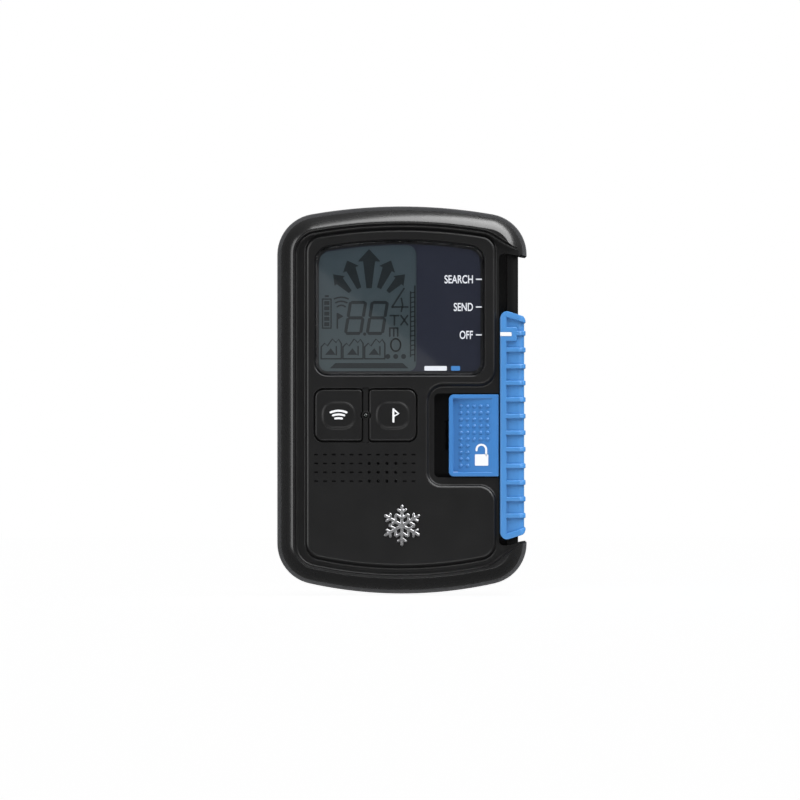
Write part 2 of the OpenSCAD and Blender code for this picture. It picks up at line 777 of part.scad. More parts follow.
function rib_section() = rounded([
    [switch_x + rail_w - 0.1, switch_front, 0], [switch_x + rail_w - 0.1, switch_front + rib_height + 0.3, 0],
    [switch_out - rib_side - 0.3, switch_front + rib_height + 0.3, 3], [switch_out - rib_side - 0.3, switch_back - 1.7, 0],
    [switch_out, switch_back - 1.7, 0], [switch_out, switch_front, 3.9]]);

module slide_switch() color(switch_blue) difference() {
    union() {
        translate([0, 0, switch_bottom]) linear_extrude(switch_top - switch_bottom) polygon(switch_section());
        for (i = [0:rib_count - 1])
            translate([0, 0, switch_top - 6.7 - rib_t / 2 - i * rib_pitch])
                linear_extrude(rib_t) polygon(rib_section());
        for (z = [switch_bottom, switch_top - 1.9])
            translate([0, 0, z]) linear_extrude(1.9) polygon(rib_section());
        box(switch_x + rail_w - 0.1, switch_front, index_z - 2.15, switch_x + 5.1, switch_in_y - 0.1, index_z + 2.15);
    }
    // Slanting ends
    slab(y_front - past, y_back) {
        polygon([
            [switch_x - past, switch_top - 1.4], [switch_x, switch_top - 1.4], [switch_x + 1.3, switch_top - 0.1],
            [switch_x + 2.2, switch_top], [switch_out - 0.7, switch_top - 1.6], [switch_out, switch_top - 2.5],
            [switch_out + past, switch_top - 3], [switch_out + past, switch_top + past],
            [switch_x - past, switch_top + past]]);
        polygon([
            [switch_x - past, switch_bottom + 1.4], [switch_x, switch_bottom + 1.4], [switch_x + 1.3, switch_bottom + 0.1],
            [switch_x + 2.2, switch_bottom], [switch_out - 0.7, switch_bottom + 1.5], [switch_out, switch_bottom + 3],
            [switch_out + past, switch_bottom + 3], [switch_out + past, switch_bottom - past],
            [switch_x - past, switch_bottom - past]]);
    }
    // Seats of the index mark and the magnet, notches for the lock and the detent
    box(switch_x - 1, switch_front - past, index_z - 0.65, switch_x + 3.6, switch_front + 0.4, index_z + 0.65);
    box(switch_x + 0.3, leg_end - 2, magnet_z - magnet_len / 2,
        switch_x + rail_w - 0.3, leg_end + past, magnet_z + magnet_len / 2);
    box(switch_x - 1, lock_front + 0.6, lock_mid - 3, switch_x + 1.2, lock_back + 0.4, lock_mid + 3);
    for (i = [0:2]) rod_x(switch_x - 1, switch_x + rail_w + 1, leg_end + 0.4, detent_z - i * switch_step, 1.1);
}

module switch_index_mark() color("white")
    box(switch_x + 0.05, switch_front - 0.05, index_z - 0.6, switch_x + 3.5, switch_front + 0.4, index_z + 0.6);

module switch_magnet() color(metal)
    box(switch_x + 0.35, leg_end - 1.95, magnet_z - magnet_len / 2 + 0.05,
        switch_x + rail_w - 0.35, leg_end - 0.05, magnet_z + magnet_len / 2 - 0.05);

// A bowed strip in the guide groove; its hump rests in one of the switch's notches
module detent_spring() color(metal) {
    box(slot_x + 0.5, y_groove - 0.2, detent_z - 7, groove_x - 0.5, y_groove, detent_z + 7);
    intersection() {
        rod_x(slot_x + 0.5, groove_x - 0.5, y_groove + 0.1, detent_z, 0.9);
        box(slot_x, y_groove - 2, detent_z - 2, groove_x, y_groove - 0.1, detent_z + 2);
    }
}

module lock_button() color(switch_blue) {
    recess_x = lock_left + lock_lip;
    ramp_x = lock_right - 2;
    z0 = lock_z + move_gap;
    z1 = lock_top - move_gap;
    difference() {
        slab(lock_front, lock_back) polygon(rounded([
            [lock_left, z0, 1.5], [lock_right, z0, 0], [lock_right, z1, 0], [lock_left, z1, 1.5]]));
        translate([0, 0, z0 + lock_lip]) linear_extrude(z1 - z0 - 2 * lock_lip) polygon([
            [recess_x, lock_front - 1], [ramp_x, lock_front - 1], [ramp_x, lock_front],
            [recess_x + 1.5, lock_front + thumb_d], [recess_x, lock_front + thumb_d]]);
    }
    for (i = [0:4], j = [0:9]) if (j >= 4 || i < 2) {
        x = lock_left + 3.7 + i * dot_pitch;
        depth = thumb_d * min(1, (ramp_x - x) / (ramp_x - recess_x - 1.5));
        rod_y(x, z0 + 3.3 + j * dot_pitch, 0.42, lock_front + depth - 0.35, lock_front + depth + 0.3);
    }
    box(stem_x, lock_back - tiny, lock_mid - stem_h / 2, stem_x + stem_w, y_lock_in + 0.2, lock_mid + stem_h / 2);
}

// A clip under the floor of the opening, with the lug that the spring pushes on
module lock_retainer() color([0.6, 0.6, 0.62]) {
    box(stem_x - 1.8, y_lock_in + 0.2, lock_mid - 5.4, lug_x + 1.4, y_lock_in + 1, lock_mid + 5.4);
    box(lug_x, y_lock_in + 0.9, lock_mid - 1.9, lug_x + 1.4, y_lock_in + 4.4, lock_mid + 1.9);
}

module lock_spring() color(metal)
    translate([lock_spring_x, y_lock_in + 2.7, lock_mid]) rotate([0, 90, 0])
        coil(1.2, 0.2, lug_x - 0.05 - lock_spring_x, 7);

// The door's outline, grown by g
function door_path(g) =
    rounded([
        [-door_half - g, bay_z - 3, 0], [-door_half - g, bay_z - 2.4, 0],
        [-door_half - g, hinge_z, 0], [door_half + g, hinge_z, 0],
        [door_half + g, bay_z - 3, 4], [8 + g, door_bottom - g, 4], [-8 - g, door_bottom - g, 4]]);

module battery_door() color(case_grey) {
    difference() {
        union() {
            slab(y_door_in, y_back) polygon(door_path(0));
            rod_x(-door_half, door_half, hinge_y, hinge_z, barrel_r);
        }
        rod_y(0, coin_z, coin_shank_r + shaft_gap, y_door_in - past, y_back + past);
        rod_y(0, coin_z, coin_head_r + seat_gap, coin_seat, y_back + past);
        slab(y_door_in - past, y_door_in + 0.45) door_seal_plan(seat_gap / 2);
        for (i = [-3:3])
            box(-7, y_back - 0.4, hinge_z - 14 + 1.6 * i, 7, y_back + 1, hinge_z - 13.2 + 1.6 * i);
    }
    for (s = [0, 1]) mirror([s, 0, 0])
        rod_x(door_half - tiny, door_half + hinge_pin_len, hinge_y, hinge_z, hinge_pin_r);
}

module door_seal_plan(grow) {
    inner = bay_half + 0.35;
    difference() {
        polygon(rounded_box(-inner - 1 - grow, bay_z - 1.35 - grow, inner + 1 + grow, bay_top + 1.0 + grow, 1));
        polygon(rounded_box(-inner + grow, bay_z - 0.5 + grow, inner - grow, bay_top + 0.2 - grow, 0.6));
    }
}

module door_seal() color(silicone) slab(y_ledge_back + 0.05, y_door_in + 0.4) door_seal_plan(0);

module door_screw() color(metal) difference() {
    union() {
        rod_y(0, coin_z, coin_head_r, coin_seat + 0.05, coin_back);
        rod_y(0, coin_z, coin_shank_r, insert_end + 0.7, coin_seat + 0.1);
    }
    box(-coin_head_r, coin_back - 0.6, coin_z - 0.6, coin_head_r, coin_back + 1, coin_z + 0.6);
}

module door_insert() color(brass) difference() {
    rod_y(0, coin_z, 2.5, insert_end, y_door_in - 0.3);
    rod_y(0, coin_z, coin_shank_r + 0.35, insert_end - past, y_back);
}

// A cell along Z; its knob points up, or down where flip is set
module cell(x, flip) {
    z = flip ? bay_z + 0.3 : bay_top - 0.3 - cell_len;
    body = cell_len - 1;
    translate([x, cell_y, z]) {
        color([0.2, 0.22, 0.25]) translate([0, 0, flip ? 1 : 0]) cylinder(d = cell_dia, h = body);
        color(metal) translate([0, 0, flip ? 0 : body - tiny]) cylinder(d = 3.6, h = 1 + tiny);
    }
}

module battery_cell_1() cell(-cell_pitch, false);

module battery_cell_2() cell(0, true);

module battery_cell_3() cell(cell_pitch, false);

module contact_springs() color(metal) {
    room = bay_top - bay_z - 0.6 - cell_len;
    for (x = [-cell_pitch, cell_pitch]) translate([x, cell_y, bay_z + 0.3]) coil(2.6, 0.3, room, 3);
    translate([0, cell_y, bay_top - 0.3 - room]) coil(2.6, 0.3, room, 3);
}

// Two plates at the ends of the bay, each with a tail that reaches the board
module contact_plates() color(metal) for (z = [bay_z + 0.05, bay_top - 0.3]) {
    box(-bay_half + 1, cell_y - 3.5, z, bay_half - 1, cell_y + 3.5, z + 0.25);
    box(bay_half - 4, y_board_back, z, bay_half - 2, cell_y, z + 0.25);
}

module board_plan() {
    difference() {
        polygon(outline(rim_step + wall + 0.4));
        translate([slot_x - slot_wall - 0.4, 0]) square([half_w, case_h]);
        translate([slot_x - lock_opening_w - 2.4, lock_z - 2.4]) square([half_w, lock_opening_h + 4.8]);
        for (x = [-boss_x, boss_x], z = [boss_low, boss_high]) translate([x, z]) circle(r = boss_r + 0.3);
        for (p = board_posts) translate(p) circle(r = 0.9);
    }
}

module main_board() color(board_green) slab(y_board, y_board_back) board_plan();

module board_screws() color(metal) for (p = board_posts) {
    rod_y(p.x, p.y, 0.74, y_board - 2.5, y_board_back + 0.5);
    rod_y(p.x, p.y, 1.6, y_board_back, y_board_back + 1);
}

module processor_chip() color([0.1, 0.1, 0.1])
    box(-14, y_board_back, window_bottom + 8, -5, y_board_back + 1, window_bottom + 17);

module radio_module() color(metal)
    box(8, y_board_back, window_bottom + 6, 20, y_board_back + 1.6, window_bottom + 20);

module hall_sensors() color([0.1, 0.1, 0.1]) for (i = [0:2])
    box(slot_x - slot_wall - 2.2, y_board - 0.8, magnet_z - sensor_len / 2 + i * switch_step,
        slot_x - slot_wall - 0.8, y_board, magnet_z + sensor_len / 2 + i * switch_step);

module antenna_x_core() color([0.2, 0.2, 0.2])
    translate([long_x, antenna_y, long_z]) cylinder(d = ferrite_dia, h = long_antenna);

// A winding is a sleeve that fits its core
module winding(length) {
    difference() {
        cylinder(r = winding_r, h = length);
        translate([0, 0, -1]) cylinder(d = ferrite_dia + 2 * shaft_gap, h = length + 2);
    }
}

module antenna_x_winding() color(copper)
    translate([long_x, antenna_y, long_z + long_antenna / 2 - 25]) winding(50);

module antenna_y_core() color([0.2, 0.2, 0.2])
    rod_x(cross_x, cross_x + cross_antenna, antenna_y, cross_z, ferrite_dia / 2);

module antenna_y_winding() color(copper)
    translate([cross_x + cross_antenna / 2 - 10, antenna_y, cross_z]) rotate([0, 90, 0]) winding(20);

module antenna_z_coil() color(copper) slab(y_back_in - 5, y_back_in - 1) difference() {
    translate([flat_x - flat_coil_w / 2, flat_z - flat_coil_w / 2]) square(flat_coil_w);
    translate([flat_x - flat_coil_w / 2 + 3, flat_z - flat_coil_w / 2 + 3]) square(flat_coil_w - 6);
}

module antenna_z_bobbin() color([0.85, 0.85, 0.8]) {
    slab(y_back_in - 5.2, y_back_in) translate([flat_x - flat_coil_w / 2 + 3.1, flat_z - flat_coil_w / 2 + 3.1])
        square(flat_coil_w - 6.2);
    slab(y_back_in - 0.95, y_back_in) translate([flat_x - flat_coil_w / 2, flat_z - flat_coil_w / 2])
        square(flat_coil_w);
}

// Saddles on the back wall that carry the two ferrites
module antenna_clips() color([0.85, 0.85, 0.8]) difference() {
    union() {
        for (z = [long_z + 3, long_z + long_antenna - 7])
            box(long_x - 4.5, antenna_y, z, long_x + 4.5, y_back_in, z + 4);
        for (x = [cross_x + 2, cross_x + cross_antenna - 6])
            box(x, antenna_y, cross_z - 4.5, x + 4, y_back_in, cross_z + 4.5);
    }
    translate([long_x, antenna_y, 0]) cylinder(r = ferrite_dia / 2 + shaft_gap, h = case_h);
    rod_x(cross_x - 1, cross_x + cross_antenna + 1, antenna_y, cross_z, ferrite_dia / 2 + shaft_gap);
}

front_housing();
rear_housing();
housing_seal();
housing_screws();
screw_inserts();
display_window();
window_gasket();
window_print();
lcd_panel();
lcd_backlight();
lcd_frame();
lcd_connector();
scan_button();
mark_button();
scan_boot();
mark_boot();
keypad_membrane();
key_switches();
status_lens();
status_led();
speaker_mesh();
speaker();
badge();
slide_switch();
switch_index_mark();
switch_magnet();
detent_spring();
lock_button();
lock_retainer();
lock_spring();
battery_door();
door_seal();
door_screw();
door_insert();
battery_cell_1();
battery_cell_2();
battery_cell_3();
contact_springs();
contact_plates();
main_board();
board_screws();
processor_chip();
radio_module();
hall_sensors();
antenna_x_core();
antenna_x_winding();
antenna_y_core();
antenna_y_winding();
antenna_z_coil();
antenna_z_bobbin();
antenna_clips();
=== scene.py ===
import json
import math

import bmesh
import bpy
from bpy.props import FloatProperty, FloatVectorProperty, PointerProperty
from mathutils import Matrix, Vector


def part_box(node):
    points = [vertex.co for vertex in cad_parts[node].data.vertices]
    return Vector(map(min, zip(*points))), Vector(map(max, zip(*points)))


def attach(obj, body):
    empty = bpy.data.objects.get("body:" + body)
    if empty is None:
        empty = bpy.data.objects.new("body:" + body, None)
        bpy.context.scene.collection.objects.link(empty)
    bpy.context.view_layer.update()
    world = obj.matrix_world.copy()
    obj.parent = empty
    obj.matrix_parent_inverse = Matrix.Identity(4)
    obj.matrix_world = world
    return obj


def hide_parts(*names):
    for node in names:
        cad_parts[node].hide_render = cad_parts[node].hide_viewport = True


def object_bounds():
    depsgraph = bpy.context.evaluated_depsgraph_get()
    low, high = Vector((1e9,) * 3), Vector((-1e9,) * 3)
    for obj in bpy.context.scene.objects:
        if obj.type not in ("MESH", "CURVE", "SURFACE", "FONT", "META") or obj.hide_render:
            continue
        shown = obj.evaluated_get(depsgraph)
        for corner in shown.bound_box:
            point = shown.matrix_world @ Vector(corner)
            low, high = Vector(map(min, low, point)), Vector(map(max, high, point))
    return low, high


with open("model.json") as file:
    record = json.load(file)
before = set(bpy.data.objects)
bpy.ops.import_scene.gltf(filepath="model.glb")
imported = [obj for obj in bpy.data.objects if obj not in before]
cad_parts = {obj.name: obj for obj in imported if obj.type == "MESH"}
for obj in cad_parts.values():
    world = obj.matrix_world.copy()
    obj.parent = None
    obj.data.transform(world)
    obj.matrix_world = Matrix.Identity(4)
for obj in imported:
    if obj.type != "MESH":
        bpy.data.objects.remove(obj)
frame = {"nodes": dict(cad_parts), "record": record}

bl_info = {
    "name": "Avalanche transceiver",
    "version": (1, 0, 0),
    "blender": (4, 5, 0),
    "location": "3D View > Sidebar > Transceiver",
    "description": "Case, mode switch, lock, keys, display and battery door of an avalanche transceiver",
    "category": "Add Mesh",
}

MM = 0.001
STEPS = 12
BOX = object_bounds()


# ---------------------------------------------------------------- sizes

def length(name, description, millimetres):
    """A length property, given in millimetres and kept in Blender's metres."""
    return FloatProperty(name=name, description=description, default=millimetres * MM, unit="LENGTH")


def tint(name, description, colour):
    """A colour property."""
    return FloatVectorProperty(name=name, description=description, default=colour, subtype="COLOR",
                               size=3, min=0.0, max=1.0)


class Millimetres:
    """Reads the lengths of a property group in millimetres, the unit that every shape is drawn in."""

    def __init__(self, group):
        self.group = group

    def __getattr__(self, name):
        return getattr(self.group, name) / MM


class CaseSizes(bpy.types.PropertyGroup):
    """Sizes of the two shells."""
    top_radius: length("Top radius", "Radius of the shallow arc over the top", 160)
    bottom_radius: length("Bottom radius", "Radius of the shallow arc under the case", 130)
    corner_radius: length("Corner radius", "Radius of the case's four corners", 12.5)
    rim_step: length("Rim step", "How far the front shell stands in from the rear shell", 1.25)
    rim_width: length("Rim width", "Width of the raised rim, measured from the rear shell's side", 5.8)
    rim_crest: length("Rim crest", "Width of the flat crest of the rim", 0.7)
    rim_flank: length("Rim flank", "Depth over which the rim rounds to the side", 6.0)
    valley: length("Valley", "Depth of the channel between the rim and the raised face", 2.5)
    face_drop: length("Face drop", "How far the raised face lies behind the rim's crest", 1.2)
    face_edge: length("Face edge", "Radius across the shoulder of the raised face", 1.3)
    back_round: length("Back round", "Radius of the edge around the back", 5.5)
    wall: length("Wall", "Thickness of the shells", 2.8)


class SwitchSizes(bpy.types.PropertyGroup):
    """Sizes of the mode switch and of the lock beside it."""
    rail: length("Rail", "Width of the rail along the switch's inner edge", 1.7)
    pocket: length("Pocket depth", "Depth of the pockets between the ribs", 0.9)
    side_pocket: length("Side pocket depth", "Depth of the pockets on the outer side", 0.4)
    rib: length("Rib", "Thickness of the ribs across the switch", 1.4)
    rib_pitch: length("Rib pitch", "Distance from rib to rib", 5.03)
    lock_lip: length("Lock lip", "Width of the lip around the lock's thumb recess", 1.3)
    thumb: length("Thumb recess", "Depth of the lock's thumb recess", 1.3)
    dot_pitch: length("Dot pitch", "Distance between the grip dots on the lock", 2.0)
    key_flange: length("Key flange", "Width of the hidden flange around each key", 0.5)


class Finishes(bpy.types.PropertyGroup):
    """Colours of the parts that show."""
    shell: tint("Front shell", "Matt plastic of the raised face", (0.0065, 0.0065, 0.0067))
    rim: tint("Rim", "Satin plastic of the rim", (0.009, 0.009, 0.0092))
    rear: tint("Rear shell", "Plastic of the rear shell and the door", (0.050, 0.051, 0.054))
    keys: tint("Keys", "Soft plastic of the keys", (0.006, 0.006, 0.0062))
    switch: tint("Mode switch", "Blue plastic of the switch", (0.040, 0.170, 0.41))
    lock: tint("Lock", "Blue plastic of the lock", (0.028, 0.140, 0.37))
    marking: tint("Marking", "White print on the keys, the window and the switch", (0.62, 0.63, 0.65))
    mask: tint("Mask", "Dark print behind the window", (0.014, 0.016, 0.026))
    display: tint("Display", "Unlit liquid crystal", (0.035, 0.049, 0.049))
    segment: tint("Segments", "Segments of the display", (0.0065, 0.0105, 0.0115))


class StageSettings(bpy.types.PropertyGroup):
    """Camera distance and the lights' strengths."""
    distance: FloatProperty(name="Camera distance", description="From the camera to the case",
                            default=1.2, unit="LENGTH")
    view_height: FloatProperty(name="View height", description="Height that the picture takes in",
                               default=0.245, unit="LENGTH")
    key_power: FloatProperty(name="Key light", description="Power of the large light above",
                             default=30.0, unit="POWER")
    left_power: FloatProperty(name="Left light", description="Power of the light in front on the left",
                              default=7.0, unit="POWER")
    right_power: FloatProperty(name="Right light", description="Power of the strip on the right",
                               default=1.2, unit="POWER")
    low_power: FloatProperty(name="Low light", description="Power of the strip under the camera",
                             default=1.5, unit="POWER")
    card_power: FloatProperty(name="Card", description="Power of the card that mirrors in the window",
                              default=0.032, unit="POWER")
    ambient: FloatProperty(name="Ambient", description="Strength of the room's light", default=0.08)


def case():
    """The case's sizes in millimetres."""
    return Millimetres(bpy.context.scene.case_sizes)


def switch():
    """The switch's and lock's sizes in millimetres."""
    return Millimetres(bpy.context.scene.switch_sizes)


def extent(node):
    """Lowest and highest corner of a CAD node, in millimetres."""
    low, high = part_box(node)
    return Vector(low) / MM, Vector(high) / MM


HALF_WIDTH = BOX[1][0] / MM
HEIGHT = BOX[1][2] / MM
FRONT = BOX[0][1] / MM
BACK = BOX[1][1] / MM
SEAM = extent("rear_housing")[0].y
PAST = 2.0


# ---------------------------------------------------------------- paths in the X-Z plane

def quarter_turn(steps):
    """The angles from 0 to 90 degrees in equal steps."""
    return [math.radians(90 * i / steps) for i in range(steps + 1)]


def arc(x, z, radius, start, end, steps=STEPS):
    """Points on an arc about (x, z); the angles are in degrees from +X towards +Z."""
    angles = [math.radians(start + (end - start) * i / steps) for i in range(steps + 1)]
    return [Vector((x + radius * math.cos(a), z + radius * math.sin(a))) for a in angles]


def turned(path):
    """The path turned half round about the origin."""
    return [-point for point in path]


def crown(left, right, middle, radius, turn_left, turn_right):
    """A shallow arc about (0, middle) that turns down into an upright side at both ends."""
    def corner(side, turn):
        reach = abs(side) - turn
        rise = math.sqrt((radius - turn) ** 2 - reach ** 2)
        return rise, math.degrees(math.atan2(rise, reach))
    rise, lean = corner(right, turn_right)
    far_rise, far_lean = corner(left, turn_left)
    path = arc(right - turn_right, middle + rise, turn_right, 0, lean)
    path += arc(0, middle, radius, lean, 180 - far_lean, 2 * STEPS)[1:-1]
    return path + arc(left + turn_left, middle + far_rise, turn_left, 180 - far_lean, 180)


def outline(inset):
    """The case's plan from the front, drawn inwards by inset."""
    side = HALF_WIDTH - inset
    turn = case().corner_radius - inset
    top = crown(-side, side, HEIGHT - case().top_radius, case().top_radius - inset, turn, turn)
    bottom = crown(-side, side, -case().bottom_radius, case().bottom_radius - inset, turn, turn)
    return top + turned(bottom)


def corner_arc(before, corner, after, radius, steps):
    """The points that round one corner of a path."""
    corner = Vector(corner)
    back = (Vector(before) - corner).normalized()
    ahead = (Vector(after) - corner).normalized()
    half = back.angle(ahead) / 2
    middle = corner + (back + ahead).normalized() * (radius / math.sin(half))
    start = corner + back * (radius / math.tan(half)) - middle
    end = corner + ahead * (radius / math.tan(half)) - middle
    sweep = math.pi - 2 * half
    points = []
    for i in range(steps + 1):
        t = i / steps
        spoke = start * math.sin((1 - t) * sweep) + end * math.sin(t * sweep)
        points.append(middle + spoke / math.sin(sweep))
    return points


def rounded(corners, steps=6):
    """A closed path through corners of (x, z, radius)."""
    path = []
    for i, (x, z, radius) in enumerate(corners):
        after = corners[(i + 1) % len(corners)]
        path += corner_arc(corners[i - 1][:2], (x, z), after[:2], radius, steps)
    return path


def oblong(left, bottom, right, top, *radii):
    """An upright rectangle with rounded corners: one radius, or one each from bottom left, anticlockwise."""
    radii = radii * 4 if len(radii) == 1 else radii
    places = ((left, bottom), (right, bottom), (right, top), (left, top))
    return rounded([(x, z, r) for (x, z), r in zip(places, radii)])


def bezier(a, b, c, d, steps=2 * STEPS):
    """Points on a cubic curve from a to d."""
    a, b, c, d = (Vector(p) for p in (a, b, c, d))
    times = [i / steps for i in range(steps + 1)]
    return [a * (1 - t) ** 3 + b * 3 * t * (1 - t) ** 2 + c * 3 * t * t * (1 - t) + d * t ** 3 for t in times]


def grown(path, distance):
    """The closed path moved outwards by distance, point for point."""
    area = sum(a.x * b.y - b.x * a.y for a, b in zip(path, path[1:] + path[:1]))
    side = 1 if area > 0 else -1
    moved = []
    for i, here in enumerate(path):
        before = (here - path[i - 1]).normalized()
        after = (path[(i + 1) % len(path)] - here).normalized()
        normal = Vector((before.y + after.y, -before.x - after.x)).normalized() * side
        reach = max(0.3, normal.dot(Vector((after.y, -after.x))) * side)
        moved.append(here + normal * (distance / reach))
    return moved


# ---------------------------------------------------------------- bmesh building

def at_depth(path, y):
    """The path's points at depth y, which may be a function of x and z."""
    if callable(y):
        return [Vector((p.x, y(p.x, p.y), p.y)) for p in path]
    return [Vector((p.x, y, p.y)) for p in path]


def skin(rings, finish_index=0, bm=None):
    """A closed solid through rings of equally many points, each ring extruded from the one before it."""
    bm = bm or bmesh.new()
    old_faces = set(bm.faces)
    first = [bm.verts.new(point) for point in rings[0]]
    edges = [bm.edges.new((first[i - 1], first[i])) for i in range(len(first))]
    verts = first
    for points in rings[1:]:
        made = bmesh.ops.extrude_edge_only(bm, edges=edges)["geom"]
        fresh = {v for v in made if isinstance(v, bmesh.types.BMVert)}
        verts = [next(e.other_vert(v) for e in v.link_edges if e.other_vert(v) in fresh) for v in verts]
        for vert, point in zip(verts, points):
            vert.co = point
        edges = [e for e in made if isinstance(e, bmesh.types.BMEdge) and fresh.issuperset(e.verts)]
    bm.faces.new(first)
    bm.faces.new(verts)
    new_faces = [f for f in bm.faces if f not in old_faces]
    for face in new_faces:
        face.material_index = finish_index
    bmesh.ops.recalc_face_normals(bm, faces=new_faces)
    if sum(f.calc_center_median().dot(f.normal) * f.calc_area() for f in new_faces) < 0:
        bmesh.ops.reverse_faces(bm, faces=new_faces)
    return bm


def layers(path, steps, finish_index=0, bm=None):
    """A solid through copies of one path, each step giving (how far it is grown, its depth)."""
    return skin([at_depth(grown(path, out), y) for out, y in steps], finish_index, bm)


def disc_path(x, z, radius, steps=24):
    """A circle as a path."""
    return arc(x, z, radius, 0, 360, steps)[:-1]


def rod(x, z, steps, finish_index=0, bm=None, sides=32):
    """A turned solid along Y about (x, z), each step giving (radius, depth)."""
    rings = [at_depth(disc_path(x, z, radius, sides), y) for radius, y in steps]
    return skin(rings, finish_index, bm)


def block(low, high, finish_index=0, bm=None):
    """A plain box between two corners."""
    path = [Vector((low[0], low[2])), Vector((high[0], low[2])), Vector((high[0], high[2])),
            Vector((low[0], high[2]))]
    return skin([at_depth(path, low[1]), at_depth(path, high[1])], finish_index, bm)


def held(bm):
    """A bmesh as a short-lived object that has room for the finishes a piece may have."""
    mesh = bpy.data.meshes.new("tool")
    bm.to_mesh(mesh)
    bm.free()
    for _ in range(3):
        mesh.materials.append(None)
    tool = bpy.data.objects.new("tool", mesh)
    bpy.context.scene.collection.objects.link(tool)
    return tool


def worked(bm, *steps):
    """The bmesh after boolean steps of (operation, bmesh), such as ("DIFFERENCE", hole)."""
    body = held(bm)
    tools = []
    for operation, shape in steps:
        tools.append(held(shape))
        modifier = body.modifiers.new(operation, "BOOLEAN")
        modifier.operation = operation
        modifier.solver = "EXACT"
        modifier.object = tools[-1]
    result = bmesh.new()
    result.from_object(body, bpy.context.evaluated_depsgraph_get())
    for tool in tools + [body]:
        mesh = tool.data
        bpy.data.objects.remove(tool)
        bpy.data.meshes.remove(mesh)
    bmesh.ops.remove_doubles(result, verts=result.verts, dist=0.0005)
    if not result.faces:
        raise RuntimeError("a boolean step left nothing of its piece")
    return result


def add_piece(name, bm, body, finishes, replaces=(), sharp=32):
    """Makes a bmesh drawn in millimetres into a finished piece that rides on a CAD body."""
    bmesh.ops.scale(bm, vec=(MM, MM, MM), verts=bm.verts)
    mesh = bpy.data.meshes.new(name)
    bm.to_mesh(mesh)
    bm.free()
    for material in finishes if isinstance(finishes, (list, tuple)) else [finishes]:
        mesh.materials.append(material)
    mesh.shade_smooth()
    mesh.set_sharp_from_angle(angle=math.radians(sharp))
    piece = bpy.data.objects.new(name, mesh)
    bpy.context.scene.collection.objects.link(piece)
    modifier = piece.modifiers.new("Weighted normals", "WEIGHTED_NORMAL")
    modifier.keep_sharp = True
    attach(piece, body)
    if replaces:
        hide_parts(*replaces)
    return piece


# ---------------------------------------------------------------- finishes

class Nodes:
    """A short way to write a material's node tree on Object coordinates."""

    def __init__(self, name):
        self.material = bpy.data.materials.new(name)
        self.material.use_nodes = True
        self.tree = self.material.node_tree
        self.shader = self.tree.nodes["Principled BSDF"]
        self.place = self.tree.nodes.new("ShaderNodeTexCoord").outputs["Object"]

    def link(self, a, b):
        self.tree.links.new(a, b)

    def stretched(self, scale, turn=(0, 0, 0)):
        """Object coordinates scaled differently along each axis."""
        mapping = self.tree.nodes.new("ShaderNodeMapping")
        mapping.inputs["Scale"].default_value = scale
        mapping.inputs["Rotation"].default_value = turn
        self.link(self.place, mapping.inputs["Vector"])
        return mapping.outputs["Vector"]

    def noise(self, scale, detail=2.0, place=None, rough=0.5):
        """Values from 0 to 1 that wander with the given number of lumps a metre."""
        noise = self.tree.nodes.new("ShaderNodeTexNoise")
        noise.inputs["Scale"].default_value = scale
        noise.inputs["Detail"].default_value = detail
        noise.inputs["Roughness"].default_value = rough
        self.link(place or self.place, noise.inputs["Vector"])
        return noise.outputs["Fac"]

    def ranged(self, value, low, high, start=0.3, end=0.7):
        """The value mapped from start..end to low..high."""
        node = self.tree.nodes.new("ShaderNodeMapRange")
        node.inputs["From Min"].default_value = start
        node.inputs["From Max"].default_value = end
        node.inputs["To Min"].default_value = low
        node.inputs["To Max"].default_value = high
        self.link(value, node.inputs["Value"])
        return node.outputs["Result"]

    def blended(self, fac, first, second):
        """One colour turning into another."""
        node = self.tree.nodes.new("ShaderNodeMix")
        node.data_type = "RGBA"
        for socket, colour in ((node.inputs["A"], first), (node.inputs["B"], second)):
            if isinstance(colour, bpy.types.NodeSocket):
                self.link(colour, socket)
            else:
                socket.default_value = (*colour[:3], 1)
        self.link(fac, node.inputs["Factor"])
        return node.outputs["Result"]

    def bumped(self, height, strength, distance, normal=None):
        """A normal raised by the height."""
        node = self.tree.nodes.new("ShaderNodeBump")
        node.inputs["Strength"].default_value = strength
        node.inputs["Distance"].default_value = distance
        self.link(height, node.inputs["Height"])
        if normal:
            self.link(normal, node.inputs["Normal"])
        return node.outputs["Normal"]


def shade(colour, factor):
    """The colour made lighter or darker."""
    return tuple(min(1.0, c * factor) for c in colour[:3])


def moulded(name, colour, roughness, grain=0.12, grain_size=0.28, mottle=0.10, specular=0.5, coat=0.0):
    """Moulded plastic or rubber: a fine spark-eroded grain, and a tone and gloss that wander a little."""
    nodes = Nodes(name)
    wide = nodes.noise(90, 3)
    fine = nodes.noise(1 / (grain_size * MM), 2)
    tone = nodes.blended(nodes.ranged(wide, 0, 1), shade(colour, 1 - mottle), shade(colour, 1 + mottle))
    nodes.link(tone, nodes.shader.inputs["Base Color"])
    gloss = nodes.ranged(nodes.noise(160, 1), roughness * 0.94, min(1.0, roughness * 1.06))
    nodes.link(gloss, nodes.shader.inputs["Roughness"])
    nodes.link(nodes.bumped(fine, grain, 0.03 * MM), nodes.shader.inputs["Normal"])
    nodes.shader.inputs["Specular IOR Level"].default_value = specular
    nodes.shader.inputs["Coat Weight"].default_value = coat
    nodes.shader.inputs["Coat Roughness"].default_value = 0.12
    return nodes.material


